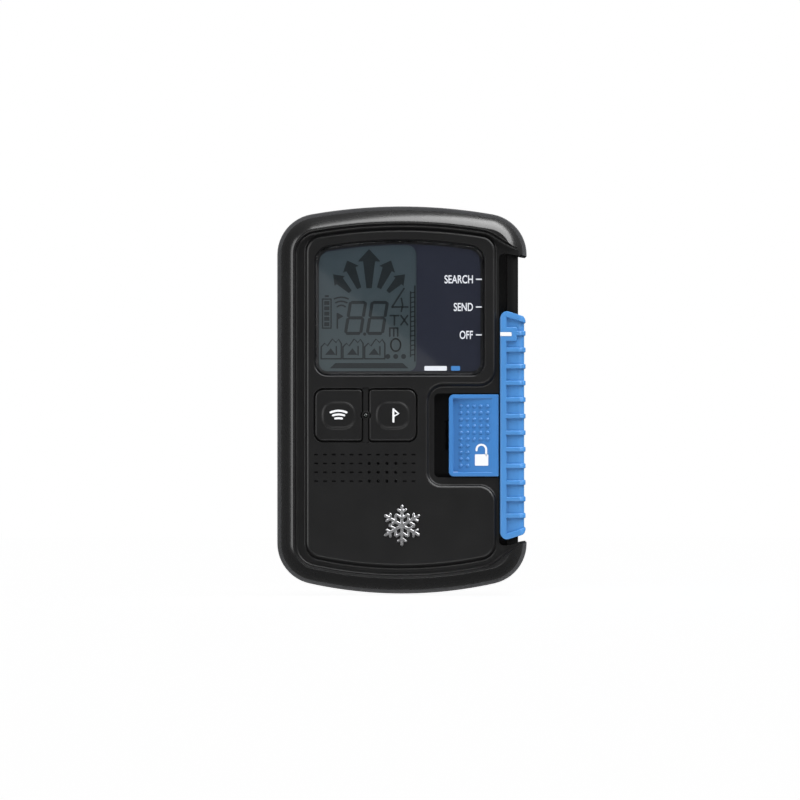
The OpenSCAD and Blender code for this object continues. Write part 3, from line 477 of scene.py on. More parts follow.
def metallic(name, colour, roughness, brush=(600, 600, 9000), strength=0.10, turn=(0, 0, 0)):
    """Metal with the fine lines of its making along one direction."""
    nodes = Nodes(name)
    lines = nodes.noise(1.0, 4, nodes.stretched(brush, turn), 0.6)
    tone = nodes.blended(nodes.ranged(lines, 0, 1), shade(colour, 0.82), shade(colour, 1.1))
    nodes.link(tone, nodes.shader.inputs["Base Color"])
    nodes.link(nodes.ranged(lines, roughness * 0.75, roughness * 1.3), nodes.shader.inputs["Roughness"])
    nodes.link(nodes.bumped(lines, strength, 0.02 * MM), nodes.shader.inputs["Normal"])
    nodes.shader.inputs["Metallic"].default_value = 1.0
    return nodes.material


def printed(name, colour, roughness=0.45):
    """Screen print or paint: even, with the faint unevenness of a thin layer."""
    return moulded(name, colour, roughness, grain=0.05, grain_size=0.12, mottle=0.04, specular=0.35)


def clear_pane(name):
    """A thin clear window: it lets light straight through and mirrors by its angle."""
    nodes = Nodes(name)
    tree = nodes.tree
    tree.nodes.remove(nodes.shader)
    clear = tree.nodes.new("ShaderNodeBsdfTransparent")
    clear.inputs["Color"].default_value = (0.93, 0.94, 0.96, 1)
    gloss = tree.nodes.new("ShaderNodeBsdfGlossy")
    nodes.link(nodes.ranged(nodes.noise(700, 3), 0.02, 0.035), gloss.inputs["Roughness"])
    fresnel = tree.nodes.new("ShaderNodeFresnel")
    fresnel.inputs["IOR"].default_value = 1.5
    side = tree.nodes.new("ShaderNodeNewGeometry")
    outer = nodes.ranged(side.outputs["Backfacing"], 1, 0, 0, 1)
    share = tree.nodes.new("ShaderNodeMath")
    share.operation = "MULTIPLY"
    nodes.link(fresnel.outputs["Fac"], share.inputs[0])
    nodes.link(outer, share.inputs[1])
    mixed = tree.nodes.new("ShaderNodeMixShader")
    nodes.link(share.outputs["Value"], mixed.inputs["Fac"])
    nodes.link(clear.outputs["BSDF"], mixed.inputs[1])
    nodes.link(gloss.outputs["BSDF"], mixed.inputs[2])
    nodes.link(mixed.outputs["Shader"], tree.nodes["Material Output"].inputs["Surface"])
    return nodes.material


def crystal_layer(name, colour):
    """The unlit liquid crystal: a silvery green-grey, darkened and cooled towards the top as painted shade.
    """
    nodes = Nodes(name)
    parts = nodes.tree.nodes.new("ShaderNodeSeparateXYZ")
    nodes.link(nodes.place, parts.inputs["Vector"])
    low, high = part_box("lcd_panel")
    upward = nodes.ranged(parts.outputs["Z"], 0, 1, low[2], high[2])
    # Painted shade: towards the top the crystal's colour is darkened and made bluer
    top_painted_shade = (colour[0] * 0.72, colour[1] * 0.78, colour[2] * 0.92)
    tone = nodes.blended(upward, colour, top_painted_shade)
    speck = nodes.noise(9000, 1)
    tone = nodes.blended(nodes.ranged(speck, 0, 0.25), tone, shade(colour, 1.5))
    nodes.link(tone, nodes.shader.inputs["Base Color"])
    nodes.link(nodes.ranged(nodes.noise(300, 2), 0.30, 0.42), nodes.shader.inputs["Roughness"])
    return nodes.material


def woven_mesh(name, colour):
    """Fine woven wire over the loudspeaker."""
    nodes = Nodes(name)
    waves = []
    for direction in ("X", "Z"):
        wave = nodes.tree.nodes.new("ShaderNodeTexWave")
        wave.bands_direction = direction
        wave.inputs["Scale"].default_value = 500
        nodes.link(nodes.place, wave.inputs["Vector"])
        waves.append(wave.outputs["Fac"])
    weave = nodes.tree.nodes.new("ShaderNodeMath")
    weave.operation = "MAXIMUM"
    nodes.link(waves[0], weave.inputs[0])
    nodes.link(waves[1], weave.inputs[1])
    nodes.link(nodes.blended(weave.outputs[0], shade(colour, 0.2), colour), nodes.shader.inputs["Base Color"])
    nodes.link(nodes.bumped(weave.outputs[0], 0.6, 0.1 * MM), nodes.shader.inputs["Normal"])
    nodes.shader.inputs["Metallic"].default_value = 1.0
    nodes.shader.inputs["Roughness"].default_value = 0.45
    return nodes.material


def laminate(name, colour):
    """Solder mask over a glass-cloth board, with paler copper runs showing through it."""
    nodes = Nodes(name)
    voronoi = nodes.tree.nodes.new("ShaderNodeTexVoronoi")
    voronoi.distance = "MANHATTAN"
    voronoi.feature = "F1"
    voronoi.inputs["Scale"].default_value = 260
    nodes.link(nodes.place, voronoi.inputs["Vector"])
    runs = nodes.ranged(voronoi.outputs["Distance"], 1, 0, 0.30, 0.36)
    nodes.link(nodes.blended(runs, colour, shade(colour, 1.9)), nodes.shader.inputs["Base Color"])
    nodes.link(nodes.bumped(runs, 0.3, 0.03 * MM), nodes.shader.inputs["Normal"])
    nodes.link(nodes.ranged(nodes.noise(600, 3), 0.28, 0.4), nodes.shader.inputs["Roughness"])
    return nodes.material


def wound_wire(name, colour):
    """Enamelled copper wire laid turn by turn."""
    nodes = Nodes(name)
    wave = nodes.tree.nodes.new("ShaderNodeTexWave")
    wave.bands_direction = "DIAGONAL"
    wave.inputs["Scale"].default_value = 900
    nodes.link(nodes.place, wave.inputs["Vector"])
    turns = wave.outputs["Fac"]
    nodes.link(nodes.blended(turns, shade(colour, 0.45), colour), nodes.shader.inputs["Base Color"])
    nodes.link(nodes.bumped(turns, 0.5, 0.12 * MM), nodes.shader.inputs["Normal"])
    nodes.link(nodes.ranged(nodes.noise(800, 2), 0.2, 0.34), nodes.shader.inputs["Roughness"])
    nodes.shader.inputs["Metallic"].default_value = 0.9
    return nodes.material


def make_finishes():
    """Every finish by the name of the record's slot, and a few more that only show from outside."""
    colours = bpy.context.scene.finishes
    steel = (0.50, 0.50, 0.51)
    return {
        # Painted shade: the recess finish is the same shell plastic darkened to 0.3, for the track, the lock
        # bay, the grille holes and the other cut recesses
        "recess": moulded("recess_painted_shade", shade(colours.shell, 0.3), 0.6, grain=0.03, specular=0.12),
        "shell_plastic": moulded("shell_matt", colours.shell, 0.33, grain=0.03, specular=0.35),
        "rim": moulded("rim_satin", colours.rim, 0.27, grain=0.012, mottle=0.05, specular=0.55),
        "case_plastic": moulded("rear_satin", colours.rear, 0.40, grain=0.22, grain_size=0.45),
        "key_plastic": moulded("key_soft", colours.keys, 0.35, grain=0.03, specular=0.35),
        "switch_plastic": moulded("switch_blue", colours.switch, 0.36, grain=0.05, mottle=0.05),
        "lock": moulded("lock_blue", colours.lock, 0.36, grain=0.05, mottle=0.05),
        "white_plastic": printed("marking_white", colours.marking),
        "print_ink": printed("mask_navy", colours.mask, 0.35),
        "product_bar": printed("marking_blue", colours.switch),
        "window_glass": clear_pane("window_clear"),
        "display_glass": crystal_layer("display_crystal", colours.display),
        "segment": printed("display_segment", colours.segment, 0.4),
        "badge_metal": metallic("badge_brushed", (0.80, 0.80, 0.82), 0.26, (500, 500, 9000), 0.2,
                                (0, math.radians(35), 0)),
        "silicone": moulded("silicone", (0.013, 0.013, 0.014), 0.62, grain=0.05),
        "screw_steel": metallic("screw_zinc", steel, 0.30),
        "insert_brass": metallic("insert_brass", (0.72, 0.50, 0.20), 0.28),
        "contact_metal": metallic("contact_nickel", (0.68, 0.66, 0.60), 0.25),
        "magnet_metal": metallic("magnet_nickel", (0.60, 0.60, 0.62), 0.18, strength=0.04),
        "spring_steel": metallic("spring_wire", steel, 0.28),
        "mesh_metal": woven_mesh("speaker_mesh_wire", (0.20, 0.20, 0.21)),
        "light_guide": moulded("light_guide", (0.72, 0.74, 0.74), 0.35, grain=0.03, mottle=0.03),
        "frame_plastic": moulded("frame_moulded", (0.030, 0.030, 0.032), 0.5),
        "connector_rubber": moulded("connector_stripe", (0.20, 0.05, 0.10), 0.6),
        "lens_plastic": moulded("status_lens", (0.010, 0.014, 0.012), 0.12, grain=0.0, mottle=0.05, coat=0.6),
        "speaker_plastic": moulded("speaker_moulded", (0.040, 0.040, 0.044), 0.5),
        "cell_jacket": moulded("cell_jacket", (0.016, 0.024, 0.040), 0.28, grain=0.02, mottle=0.05, coat=0.4),
        "cell_band": moulded("cell_band", (0.42, 0.24, 0.09), 0.30, grain=0.02, mottle=0.05, coat=0.4),
        "board_laminate": laminate("board_mask", (0.006, 0.060, 0.030)),
        "chip_resin": moulded("chip_resin", (0.018, 0.018, 0.019), 0.45, grain=0.15),
        "ferrite": moulded("ferrite", (0.035, 0.034, 0.036), 0.55, grain=0.3, grain_size=0.5),
        "copper_wire": wound_wire("copper_wire", (0.70, 0.26, 0.10)),
        "bobbin_plastic": moulded("bobbin_moulded", (0.62, 0.60, 0.54), 0.45),
    }


FINISH = {}


# ---------------------------------------------------------------- the front shell

# How far behind the rim's front the openings for the switch and the lock reach
TRACK_DEPTH = 3.3
GROOVE_DEPTH = 6.9
LOCK_BAY_DEPTH = 4.9
# Places in a shell's list of finishes
VALLEY = 1
# The third place holds the recess finish: the shell plastic darkened as painted shade
PAINTED_SHADE_RECESS = 2


def rim_opening():
    """The inner edge of the rim: an inset outline that sweeps out to a hook at each end of the switch."""
    width = case().rim_width
    sweep_x = 25.0
    low_hook, high_hook = extent("slide_switch")[0].z - 1.5, 104.5
    body = [p for p in outline(width) if p.x < sweep_x]
    top, bottom = body[0], body[-1]
    top_lean = -(top.x / (top.y - (HEIGHT - case().top_radius)))
    low_lean = bottom.x / (case().bottom_radius - bottom.y)
    reach = 4.5
    out = HALF_WIDTH + 0.5
    lower = bezier(bottom, (bottom.x + reach, bottom.y + reach * low_lean), (30.5, low_hook - 1.2),
                   (out, low_hook))
    upper = bezier((out, high_hook), (30.5, high_hook + 0.9), (top.x + reach, top.y + reach * top_lean), top)
    return body + lower[1:] + [Vector((out + 6, low_hook)), Vector((out + 6, high_hook))] + upper[:-1]


def face_path():
    """The raised face's plan, with the bay that it leaves around the lock."""
    right, left = 28.4, -29.2
    top_inset, bottom_inset = 7.2, 8.2
    top = crown(left, right, HEIGHT - case().top_radius, case().top_radius - top_inset, 5, 4.5)
    bottom = crown(-right, -left, -case().bottom_radius, case().bottom_radius - bottom_inset, 5, 5)
    lock_low, lock_high = extent("lock_button")
    bay_x, bay_low, bay_high = lock_low.x - 6.2, lock_low.z - 2.6, lock_high.z + 2.6
    bay = [(right, bay_low, 5), (bay_x, bay_low, 4), (bay_x, bay_high, 4.5), (right, bay_high, 5)]
    path = top + turned(bottom)
    places = [(right, 0)] + [corner[:2] for corner in bay] + [(right, HEIGHT)]
    for i, (x, z, radius) in enumerate(bay):
        path += corner_arc(places[i], (x, z), places[i + 2], radius, STEPS)
    return path


def window_plan(gap):
    """The window's plan, grown by gap."""
    low, high = extent("display_window")
    radius = 130
    top = crown(low.x, high.x, high.z - radius, radius, 5, 5)
    path = top + corner_arc(top[-1], (low.x, low.z), (high.x, low.z), 3.8, STEPS)
    path += corner_arc((low.x, low.z), (high.x, low.z), top[0], 3.8, STEPS)
    return grown(path, gap)


def key_extent(node):
    """Lowest and highest corner of the part of a key that shows."""
    low, high = extent(node)
    flange = Vector((switch().key_flange, 0, switch().key_flange))
    return low + flange, high - flange


def key_plan(node, gap):
    """A key's plan: wide corners on the outer side, tight ones beside the other key."""
    low, high = key_extent(node)
    outer, inner = 2.4, 0.9
    radii = (outer, inner, inner, outer) if node == "scan_button" else (inner, outer, outer, inner)
    return grown(oblong(low.x, low.z, high.x, high.z, *radii), gap)


def groove_tool(face_y, floor_y):
    """The deep groove between the raised face and the switch's track."""
    path = oblong(29.4, 14.9, 31.9, 103.4, 1.5, 0.2, 0.2, 1.5)
    return layers(path, [(0, floor_y), (0, face_y - 0.3), (0.25, face_y), (0.25, FRONT - PAST)], VALLEY)


def track_tool(track_y):
    """The switch's track, rounded off towards the side, and the notch beside it."""
    side, low, high = 35.3, 14.9, 103.4
    round_r = 2.2

    def ring(x):
        return rounded([(x, low, 0.5), (44, low + 2.2, 0.5), (44, high - 2.0, 0.5), (x, high, 0.5)])
    rings = [at_depth(ring(side), BACK + PAST)]
    for i in range(9):
        a = math.radians(90 * i / 8)
        rings.append(at_depth(ring(side - round_r * (1 - math.cos(a))),
                              track_y + round_r * (1 - math.sin(a))))
    rings.append(at_depth(ring(31.6), track_y - 0.001))
    rings.append(at_depth(ring(31.6), FRONT - PAST))
    return skin(rings, PAINTED_SHADE_RECESS)


def lock_bay_tool(valley_y, floor_y):
    """The opening that the lock slides in."""
    low, high = extent("lock_button")
    path = oblong(low.x - 4.4, low.z - 0.3, 29.9, high.z + 0.3, 1.4, 0.2, 0.2, 1.4)
    return layers(path, [(0, floor_y), (0, valley_y - 0.35), (0.12, valley_y - 0.1), (0.4, valley_y),
                         (0.4, FRONT - PAST)], PAINTED_SHADE_RECESS)


def grille_tool(face_y):
    """Sound holes in the middle of the grille, and shallow dashes around them."""
    bm = bmesh.new()
    pitch, left, low = 2.68, -26.0, 34.4
    for column in range(12):
        for row in range(4):
            x, z = left + column * pitch, low + row * pitch
            if 6 <= column <= 9 and row <= 2:
                rod(x, z, [(0.44, face_y + 4), (0.44, face_y + 0.06), (0.5, face_y), (0.5, face_y - 1)],
                    PAINTED_SHADE_RECESS, bm, 16)
            else:
                dash = oblong(x - 0.55, z - 0.2, x + 0.55, z + 0.2, 0.19)
                layers(dash, [(-0.12, face_y + 0.3), (0, face_y + 0.1), (0.06, face_y), (0.06, face_y - 1)],
                       PAINTED_SHADE_RECESS, bm)
    return bm


def front_cavity(face_y):
    """The hollow inside the front shell, shallower behind the lock and the switch."""
    wall = case().wall
    side = HALF_WIDTH - case().rim_step - wall
    right = 27.6
    inset = case().rim_step + wall
    turn = case().corner_radius - inset
    top = crown(-side, right, HEIGHT - case().top_radius, case().top_radius - inset, turn, 3)
    bottom = crown(-right, side, -case().bottom_radius, case().bottom_radius - inset, 3, turn)
    deep = layers(grown(face_path(), -2.2), [(0, SEAM + PAST), (0, face_y + 2.4), (-0.4, face_y + 2)], VALLEY)
    shallow = layers(top + turned(bottom), [(0, SEAM + PAST), (0, SEAM - 2)], VALLEY)
    return worked(shallow, ("UNION", deep))


def make_front_shell():
    """The front shell: a rounded rim with two hooks, a channel inside it and the raised face."""
    sizes = case()
    valley_y = FRONT + sizes.valley
    face_y = FRONT + sizes.face_drop
    flank = sizes.rim_width - sizes.rim_crest - sizes.rim_step
    sweep = quarter_turn(15)
    steps = [(sizes.rim_step + 0.25, SEAM), (sizes.rim_step, SEAM - 0.4)]
    steps += [(sizes.rim_step + flank * (1 - math.cos(a) ** 1.4),
               FRONT + sizes.rim_flank * (1 - math.sin(a) ** 1.4)) for a in sweep]
    shell = skin([at_depth(outline(inset), y) for inset, y in steps])
    pocket = layers(rim_opening(), [
        (-1.0, valley_y), (-0.45, valley_y - 0.06), (-0.15, valley_y - 0.25), (0, valley_y - 0.6),
        (0, FRONT + 0.8), (0.1, FRONT + 0.4), (0.3, FRONT + 0.12), (0.55, FRONT + 0.02), (0.75, FRONT),
        (0.75, FRONT - PAST)], VALLEY)
    edge = sizes.face_edge
    shoulder = [math.radians(90 * i / 7) for i in range(1, 8)]
    rise = valley_y - face_y
    raised = layers(face_path(), [(0.7, valley_y + 0.5), (0.7, valley_y), (0.3, valley_y - 0.06),
                                  (0.08, valley_y - 0.2)]
                    + [(-edge * (1 - math.cos(a)), valley_y - 0.2 - (rise - 0.2) * math.sin(a))
                       for a in shoulder], VALLEY)
    glass_back = extent("display_window")[1].y
    window = layers(window_plan(0.12), [(-1.3, SEAM + PAST), (-1.3, glass_back), (0, glass_back),
                                        (0, face_y + 0.3), (0.3, face_y), (0.3, FRONT - PAST)], VALLEY)
    light = extent("status_lens")
    light_x, light_z = (light[0].x + light[1].x) / 2, (light[0].z + light[1].z) / 2
    keys = bmesh.new()
    for node in ("scan_button", "mark_button"):
        layers(key_plan(node, 0.45), [(0, SEAM + PAST), (0, face_y + 0.3), (0.12, face_y + 0.08),
                                      (0.3, face_y), (0.3, FRONT - PAST)], VALLEY, keys)
    low, high = key_extent("scan_button")
    bar = layers(oblong(light_x - 1.0, low.z - 0.6, light_x + 1.0, high.z + 0.6, 0.4),
                 [(0, face_y + 0.45), (0.1, face_y), (0.1, FRONT - PAST)], VALLEY)
    eye = rod(light_x, light_z, [(1.35, face_y + 1.6), (1.35, face_y + 0.55), (1.2, face_y + 0.4)], VALLEY)
    eye_hole = rod(light_x, light_z, [(0.72, SEAM + PAST), (0.72, face_y + 0.55), (0.85, face_y + 0.3),
                                      (0.85, FRONT - PAST)], VALLEY)
    lock_low = extent("lock_button")[0]
    return worked(
        shell,
        ("DIFFERENCE", pocket),
        ("UNION", raised),
        ("DIFFERENCE", front_cavity(face_y)),
        ("DIFFERENCE", track_tool(FRONT + TRACK_DEPTH)),
        ("DIFFERENCE", groove_tool(valley_y, FRONT + GROOVE_DEPTH)),
        ("DIFFERENCE", lock_bay_tool(valley_y, FRONT + LOCK_BAY_DEPTH)),
        ("DIFFERENCE", block((lock_low.x - 1, FRONT, 43.9), (22.5, SEAM, 52.6), PAINTED_SHADE_RECESS)),
        ("DIFFERENCE", window),
        ("DIFFERENCE", keys),
        ("DIFFERENCE", bar),
        ("UNION", eye),
        ("DIFFERENCE", eye_hole),
        ("DIFFERENCE", grille_tool(face_y)),
    )


class TRANSCEIVER_OT_front_shell(bpy.types.Operator):
    """Model the front shell with its rim, hooks, raised face, openings and grille"""
    bl_idname = "transceiver.front_shell"
    bl_label = "Front Shell"

    def execute(self, context):
        # The third finish paints shade into the track, the lock bay and the grille holes
        finishes = [FINISH["rim"], FINISH["shell_plastic"], FINISH["recess"]]
        add_piece("front_shell", make_front_shell(), "root", finishes, ["front_housing"])
        return {"FINISHED"}


# ---------------------------------------------------------------- the rear shell

def door_plan(gap):
    """The battery door's plan: its lower corners slant in to the screw."""
    low, high = extent("battery_door")
    hinge_z = high.z - 1.3
    side = 19.3
    return grown(rounded([(-8, low.z, 4), (8, low.z, 4), (side, low.z + 6, 3), (side, hinge_z, 0.4),
                          (-side, hinge_z, 0.4), (-side, low.z + 6, 3)]), gap)


def screw_places():
    """The four housing screws as (x, z)."""
    low, high = extent("housing_screws")
    head = 2.2
    return [(x, z) for x in (low.x + head, high.x - head) for z in (low.z + head, high.z - head)]


def rear_cavity():
    """The hollow inside the rear shell, around the battery bay and the screw bosses."""
    sizes = case()
    side = HALF_WIDTH - sizes.wall
    right = 32.5
    turn = sizes.corner_radius - sizes.wall
    top = crown(-side, right, HEIGHT - sizes.top_radius, sizes.top_radius - sizes.wall, turn, 7)
    bottom = crown(-right, side, -sizes.bottom_radius, sizes.bottom_radius - sizes.wall, 7, turn)
    inner = sizes.back_round - sizes.wall
    sweep = quarter_turn(6)
    back = BACK - sizes.wall
    steps = [(0, SEAM - PAST)]
    steps += [(-inner * (1 - math.cos(a)), back - inner * (1 - math.sin(a))) for a in sweep]
    hollow = layers(top + turned(bottom), steps)
    bosses = bmesh.new()
    for x, z in screw_places():
        rod(x, z, [(3.4, -3.2), (3.4, BACK)], 0, bosses)
    cell_low, cell_high = extent("battery_cell_1")
    far = extent("battery_cell_3")[1].x + 2.3
    bay = block((-far, cell_low.y - 1.6, cell_low.z - 5), (far, BACK, cell_high.z + 3))
    return worked(hollow, ("DIFFERENCE", bosses), ("DIFFERENCE", bay))


def make_rear_shell():
    """The rear shell with its battery bay, door recess, screw wells and the notch beside the switch."""
    sizes = case()
    sweep = quarter_turn(15)
    steps = [(1.0, SEAM + 0.05), (0.35, SEAM), (0.1, SEAM + 0.1), (0, SEAM + 0.35)]
    steps += [(sizes.back_round * (1 - math.cos(a)), BACK - sizes.back_round * (1 - math.sin(a)))
              for a in sweep]
    shell = skin([at_depth(outline(inset), y) for inset, y in steps])
    door_high = extent("battery_door")[1]
    door_in = BACK - 1.6
    recess = layers(door_plan(0.3), [(0, door_in - 0.2), (0, BACK - 0.3), (0.3, BACK), (0.3, BACK + PAST)])
    cell_low = extent("battery_cell_1")[0]
    far = extent("battery_cell_3")[1].x + 0.95
    bay_low, bay_high = extent("contact_plates")[0].z - 0.05, extent("contact_plates")[1].z + 0.05
    bay = layers(oblong(-far, bay_low, far, bay_high, 0.6),
                 [(0, cell_low.y - 0.15), (0, BACK + PAST)])
    wells = bmesh.new()
    for x, z in screw_places():
        rod(x, z, [(1.5, SEAM + PAST), (1.5, BACK - 3.5), (2.4, BACK - 3.5), (2.4, BACK - 0.25), (2.7, BACK),
                   (2.7, BACK + PAST)], 0, wells)
    hinge_y, hinge_z = BACK - 1.3, door_high.z - 1.3
    barrel = skin([[Vector((x, hinge_y + 1.65 * math.cos(a), hinge_z + 1.65 * math.sin(a)))
                    for a in [math.radians(15 * i) for i in range(24)]] for x in (-19.6, 19.6)])
    coin = extent("door_screw")
    coin_z = (coin[0].z + coin[1].z) / 2
    insert_hole = rod(0, coin_z, [(2.5, BACK - 6.2), (2.5, BACK + PAST)])
    switch_back = extent("slide_switch")[1].y
    lip_groove = block((33.9, switch_back - 1.7, 15.4), (HALF_WIDTH + PAST, switch_back + 0.3, 103.4))
    return worked(
        shell,
        ("DIFFERENCE", rear_cavity()),
        ("DIFFERENCE", track_tool(SEAM - 5)),
        ("DIFFERENCE", lip_groove),
        ("DIFFERENCE", recess),
        ("DIFFERENCE", bay),
        ("DIFFERENCE", barrel),
        ("DIFFERENCE", insert_hole),
        ("DIFFERENCE", wells),
    )


class TRANSCEIVER_OT_rear_shell(bpy.types.Operator):
    """Model the rear shell with its battery bay and screw wells"""
    bl_idname = "transceiver.rear_shell"
    bl_label = "Rear Shell"

    def execute(self, context):
        # The third finish paints shade into the notch beside the switch
        finishes = [FINISH["case_plastic"], FINISH["case_plastic"], FINISH["recess"]]
        add_piece("rear_shell", make_rear_shell(), "root", finishes, ["rear_housing"])
        return {"FINISHED"}


# ---------------------------------------------------------------- the battery door and its screw

class TRANSCEIVER_OT_battery_door(bpy.types.Operator):
    """Model the battery door, its coin screw and the four housing screws"""
    bl_idname = "transceiver.battery_door"
    bl_label = "Battery Door and Screws"

    def execute(self, context):
        low, high = extent("battery_door")
        thick = 1.6
        door = layers(door_plan(0), [(0, BACK - thick), (0, BACK - 0.45), (-0.1, BACK - 0.18),
                                     (-0.28, BACK - 0.04), (-0.5, BACK)])
        hinge_y, hinge_z = BACK - 1.3, high.z - 1.3
        around = [math.radians(15 * i) for i in range(24)]

        def knuckle(radius, x):
            return [Vector((x, hinge_y + radius * math.cos(a), hinge_z + radius * math.sin(a)))
                    for a in around]
        half = [(18.95, 1.28), (19.2, 1.15), (19.22, 0.8), (20.55, 0.8), (20.7, 0.7)]
        barrel = skin([knuckle(radius, -x) for x, radius in reversed(half)]
                      + [knuckle(radius, x) for x, radius in half])
        grooves = bmesh.new()
        for i in range(-3, 4):
            z = hinge_z - 13.6 + 1.6 * i
            width = 7 - 0.25 * i * i
            layers(oblong(-width, z - 0.4, width, z + 0.4, 0.38),
                   [(-0.2, BACK - 0.45), (0, BACK - 0.3), (0.18, BACK), (0.18, BACK + PAST)], 0, grooves)
        screw = extent("door_screw")
        screw_z = (screw[0].z + screw[1].z) / 2
        seat = rod(0, screw_z, [(2.1, low.y - PAST), (2.1, BACK - 1.3), (3.4, BACK - 1.3), (3.4, BACK - 0.3),
                                (3.7, BACK), (3.7, BACK + PAST)], sides=48)
        bm = worked(door, ("UNION", barrel), ("DIFFERENCE", grooves), ("DIFFERENCE", seat))
        add_piece("door", bm, "door", [FINISH["case_plastic"]] * 2, ["battery_door"])
        top = BACK - 0.3
        head = rod(0, screw_z, [(1.4, screw[0].y), (1.75, screw[0].y + 0.4), (1.75, top - 1.0),
                                (3.3, top - 0.95), (3.3, top - 0.3), (3.22, top - 0.12), (3.0, top)],
                   sides=48)
        slot_width = 1.2
        slot_path = [Vector((-4, screw_z - slot_width / 2)), Vector((4, screw_z - slot_width / 2)),
                     Vector((4, screw_z + slot_width / 2)), Vector((-4, screw_z + slot_width / 2))]
        slot_tool = layers(slot_path, [(0, top - 0.6), (0, top - 0.12), (0.12, top), (0.12, top + 1)])
        add_piece("coin_screw", worked(head, ("DIFFERENCE", slot_tool)), "coin_bolt", FINISH["screw_steel"],
                  ["door_screw"])
        screws = bmesh.new()
        sockets = bmesh.new()
        seat_y = BACK - 3.5
        for x, z in screw_places():
            rod(x, z, [(1.1, extent("housing_screws")[0].y), (1.35, extent("housing_screws")[0].y + 0.5),
                       (1.35, seat_y), (2.2, seat_y), (2.2, seat_y + 1.3), (2.05, seat_y + 1.65),
                       (1.8, seat_y + 1.8)], 0, screws)
            rod(x, z, [(1.05, seat_y + 0.8), (1.15, seat_y + 0.9), (1.15, seat_y + 1.7), (1.3, seat_y + 1.82),
                       (1.3, seat_y + 3)], 0, sockets, 6)
        add_piece("case_screws", worked(screws, ("DIFFERENCE", sockets)), "root", FINISH["screw_steel"],
                  ["housing_screws"])
        return {"FINISHED"}


# ---------------------------------------------------------------- the mode switch

def switch_section():
    """The switch's section in the X-Y plane: rail and leg inside, a hooked skirt around the side."""
    low, high = extent("slide_switch")
    rail = switch().rail
    inner_y = low.y + 1.8
    inner_x = high.x - 1.8
    leg_y = FRONT + 6.5
    return rounded([
        (low.x, leg_y, 0.3), (low.x, low.y, 0.55), (high.x, low.y, 2.4), (high.x, high.y, 0.6),
        (34.2, high.y, 0.3), (34.2, high.y - 1.3, 0.3), (inner_x, high.y - 1.3, 0.2),
        (inner_x, inner_y, 1.3), (low.x + rail, inner_y, 0.2), (low.x + rail, leg_y, 0.3)])


def split_long(path, longest):
    """The closed path with points added where two lie further apart than longest."""
    finer = []
    for here, after in zip(path, path[1:] + path[:1]):
        count = max(1, math.ceil((after - here).length / longest))
        finer += [here.lerp(after, i / count) for i in range(count)]
    return finer


def along(points, x):
    """Height at x on a line through points of (x, height)."""
    if x <= points[0][0]:
        return points[0][1]
    for (x0, z0), (x1, z1) in zip(points, points[1:]):
        if x <= x1:
            return z0 + (z1 - z0) * (x - x0) / (x1 - x0)
    return points[-1][1]


def switch_end(top, inwards):
    """The slanting end line of the switch as (x, height), moved inwards along the switch."""
    low, high = extent("slide_switch")
    drop = [(0, 2.0), (0.35, 1.1), (0.9, 0.4), (1.5, 0.08), (2.2, 0), (7.0, 1.5), (7.45, 2.0), (7.8, 2.8)]
    if top:
        return [(low.x + x, high.z - z - inwards) for x, z in drop]
    return [(low.x + x, low.z + z + inwards) for x, z in drop]


def end_wall(top):
    """The straight slanting line behind the switch's end wall."""
    low, high = extent("slide_switch")
    wall, slope, shoulder = 1.9, 0.31, low.x + 2.2
    if top:
        return [(x, high.z - wall - slope * (x - shoulder)) for x in (low.x - 5, high.x + 5)]
    return [(x, low.z + wall + slope * (x - shoulder)) for x in (low.x - 5, high.x + 5)]


def at_heights(section, lines, out=0.0):
    """A section in the X-Y plane raised to the line's height at each x."""
    return [Vector((p.x, p.y, along(lines, p.x))) for p in grown(section, out)]


def pocket_section(share):
    """The section cut away between two ribs, at a share of the pocket's full depth."""
    low, high = extent("slide_switch")
    front = low.y + switch().pocket * share
    side = high.x - switch().side_pocket * share
    left = low.x + switch().rail + 0.25 * share
    return rounded([(left, front, 0.12), (side, front, 2.3), (side, high.y - 1.2, 0.1),
                    (high.x + 2, high.y - 1.2, 0.1), (high.x + 2, low.y - 2, 0.1),
                    (left - 0.02, low.y - 2, 0.1)])


def pocket(bm, bottom, top):
    """Cuts one pocket between the lines bottom and top, with the ribs' edges rounded off."""
    lip = [(-0.26, -0.03), (-0.12, 0.06), (0.0, 0.26), (0.04, 1.0)]
    rings = []
    for move, share in lip:
        rings.append(at_heights(pocket_section(share), [(x, z + move) for x, z in bottom]))
    for move, share in reversed(lip):
        rings.append(at_heights(pocket_section(share), [(x, z - move) for x, z in top]))
    skin(rings, 0, bm)


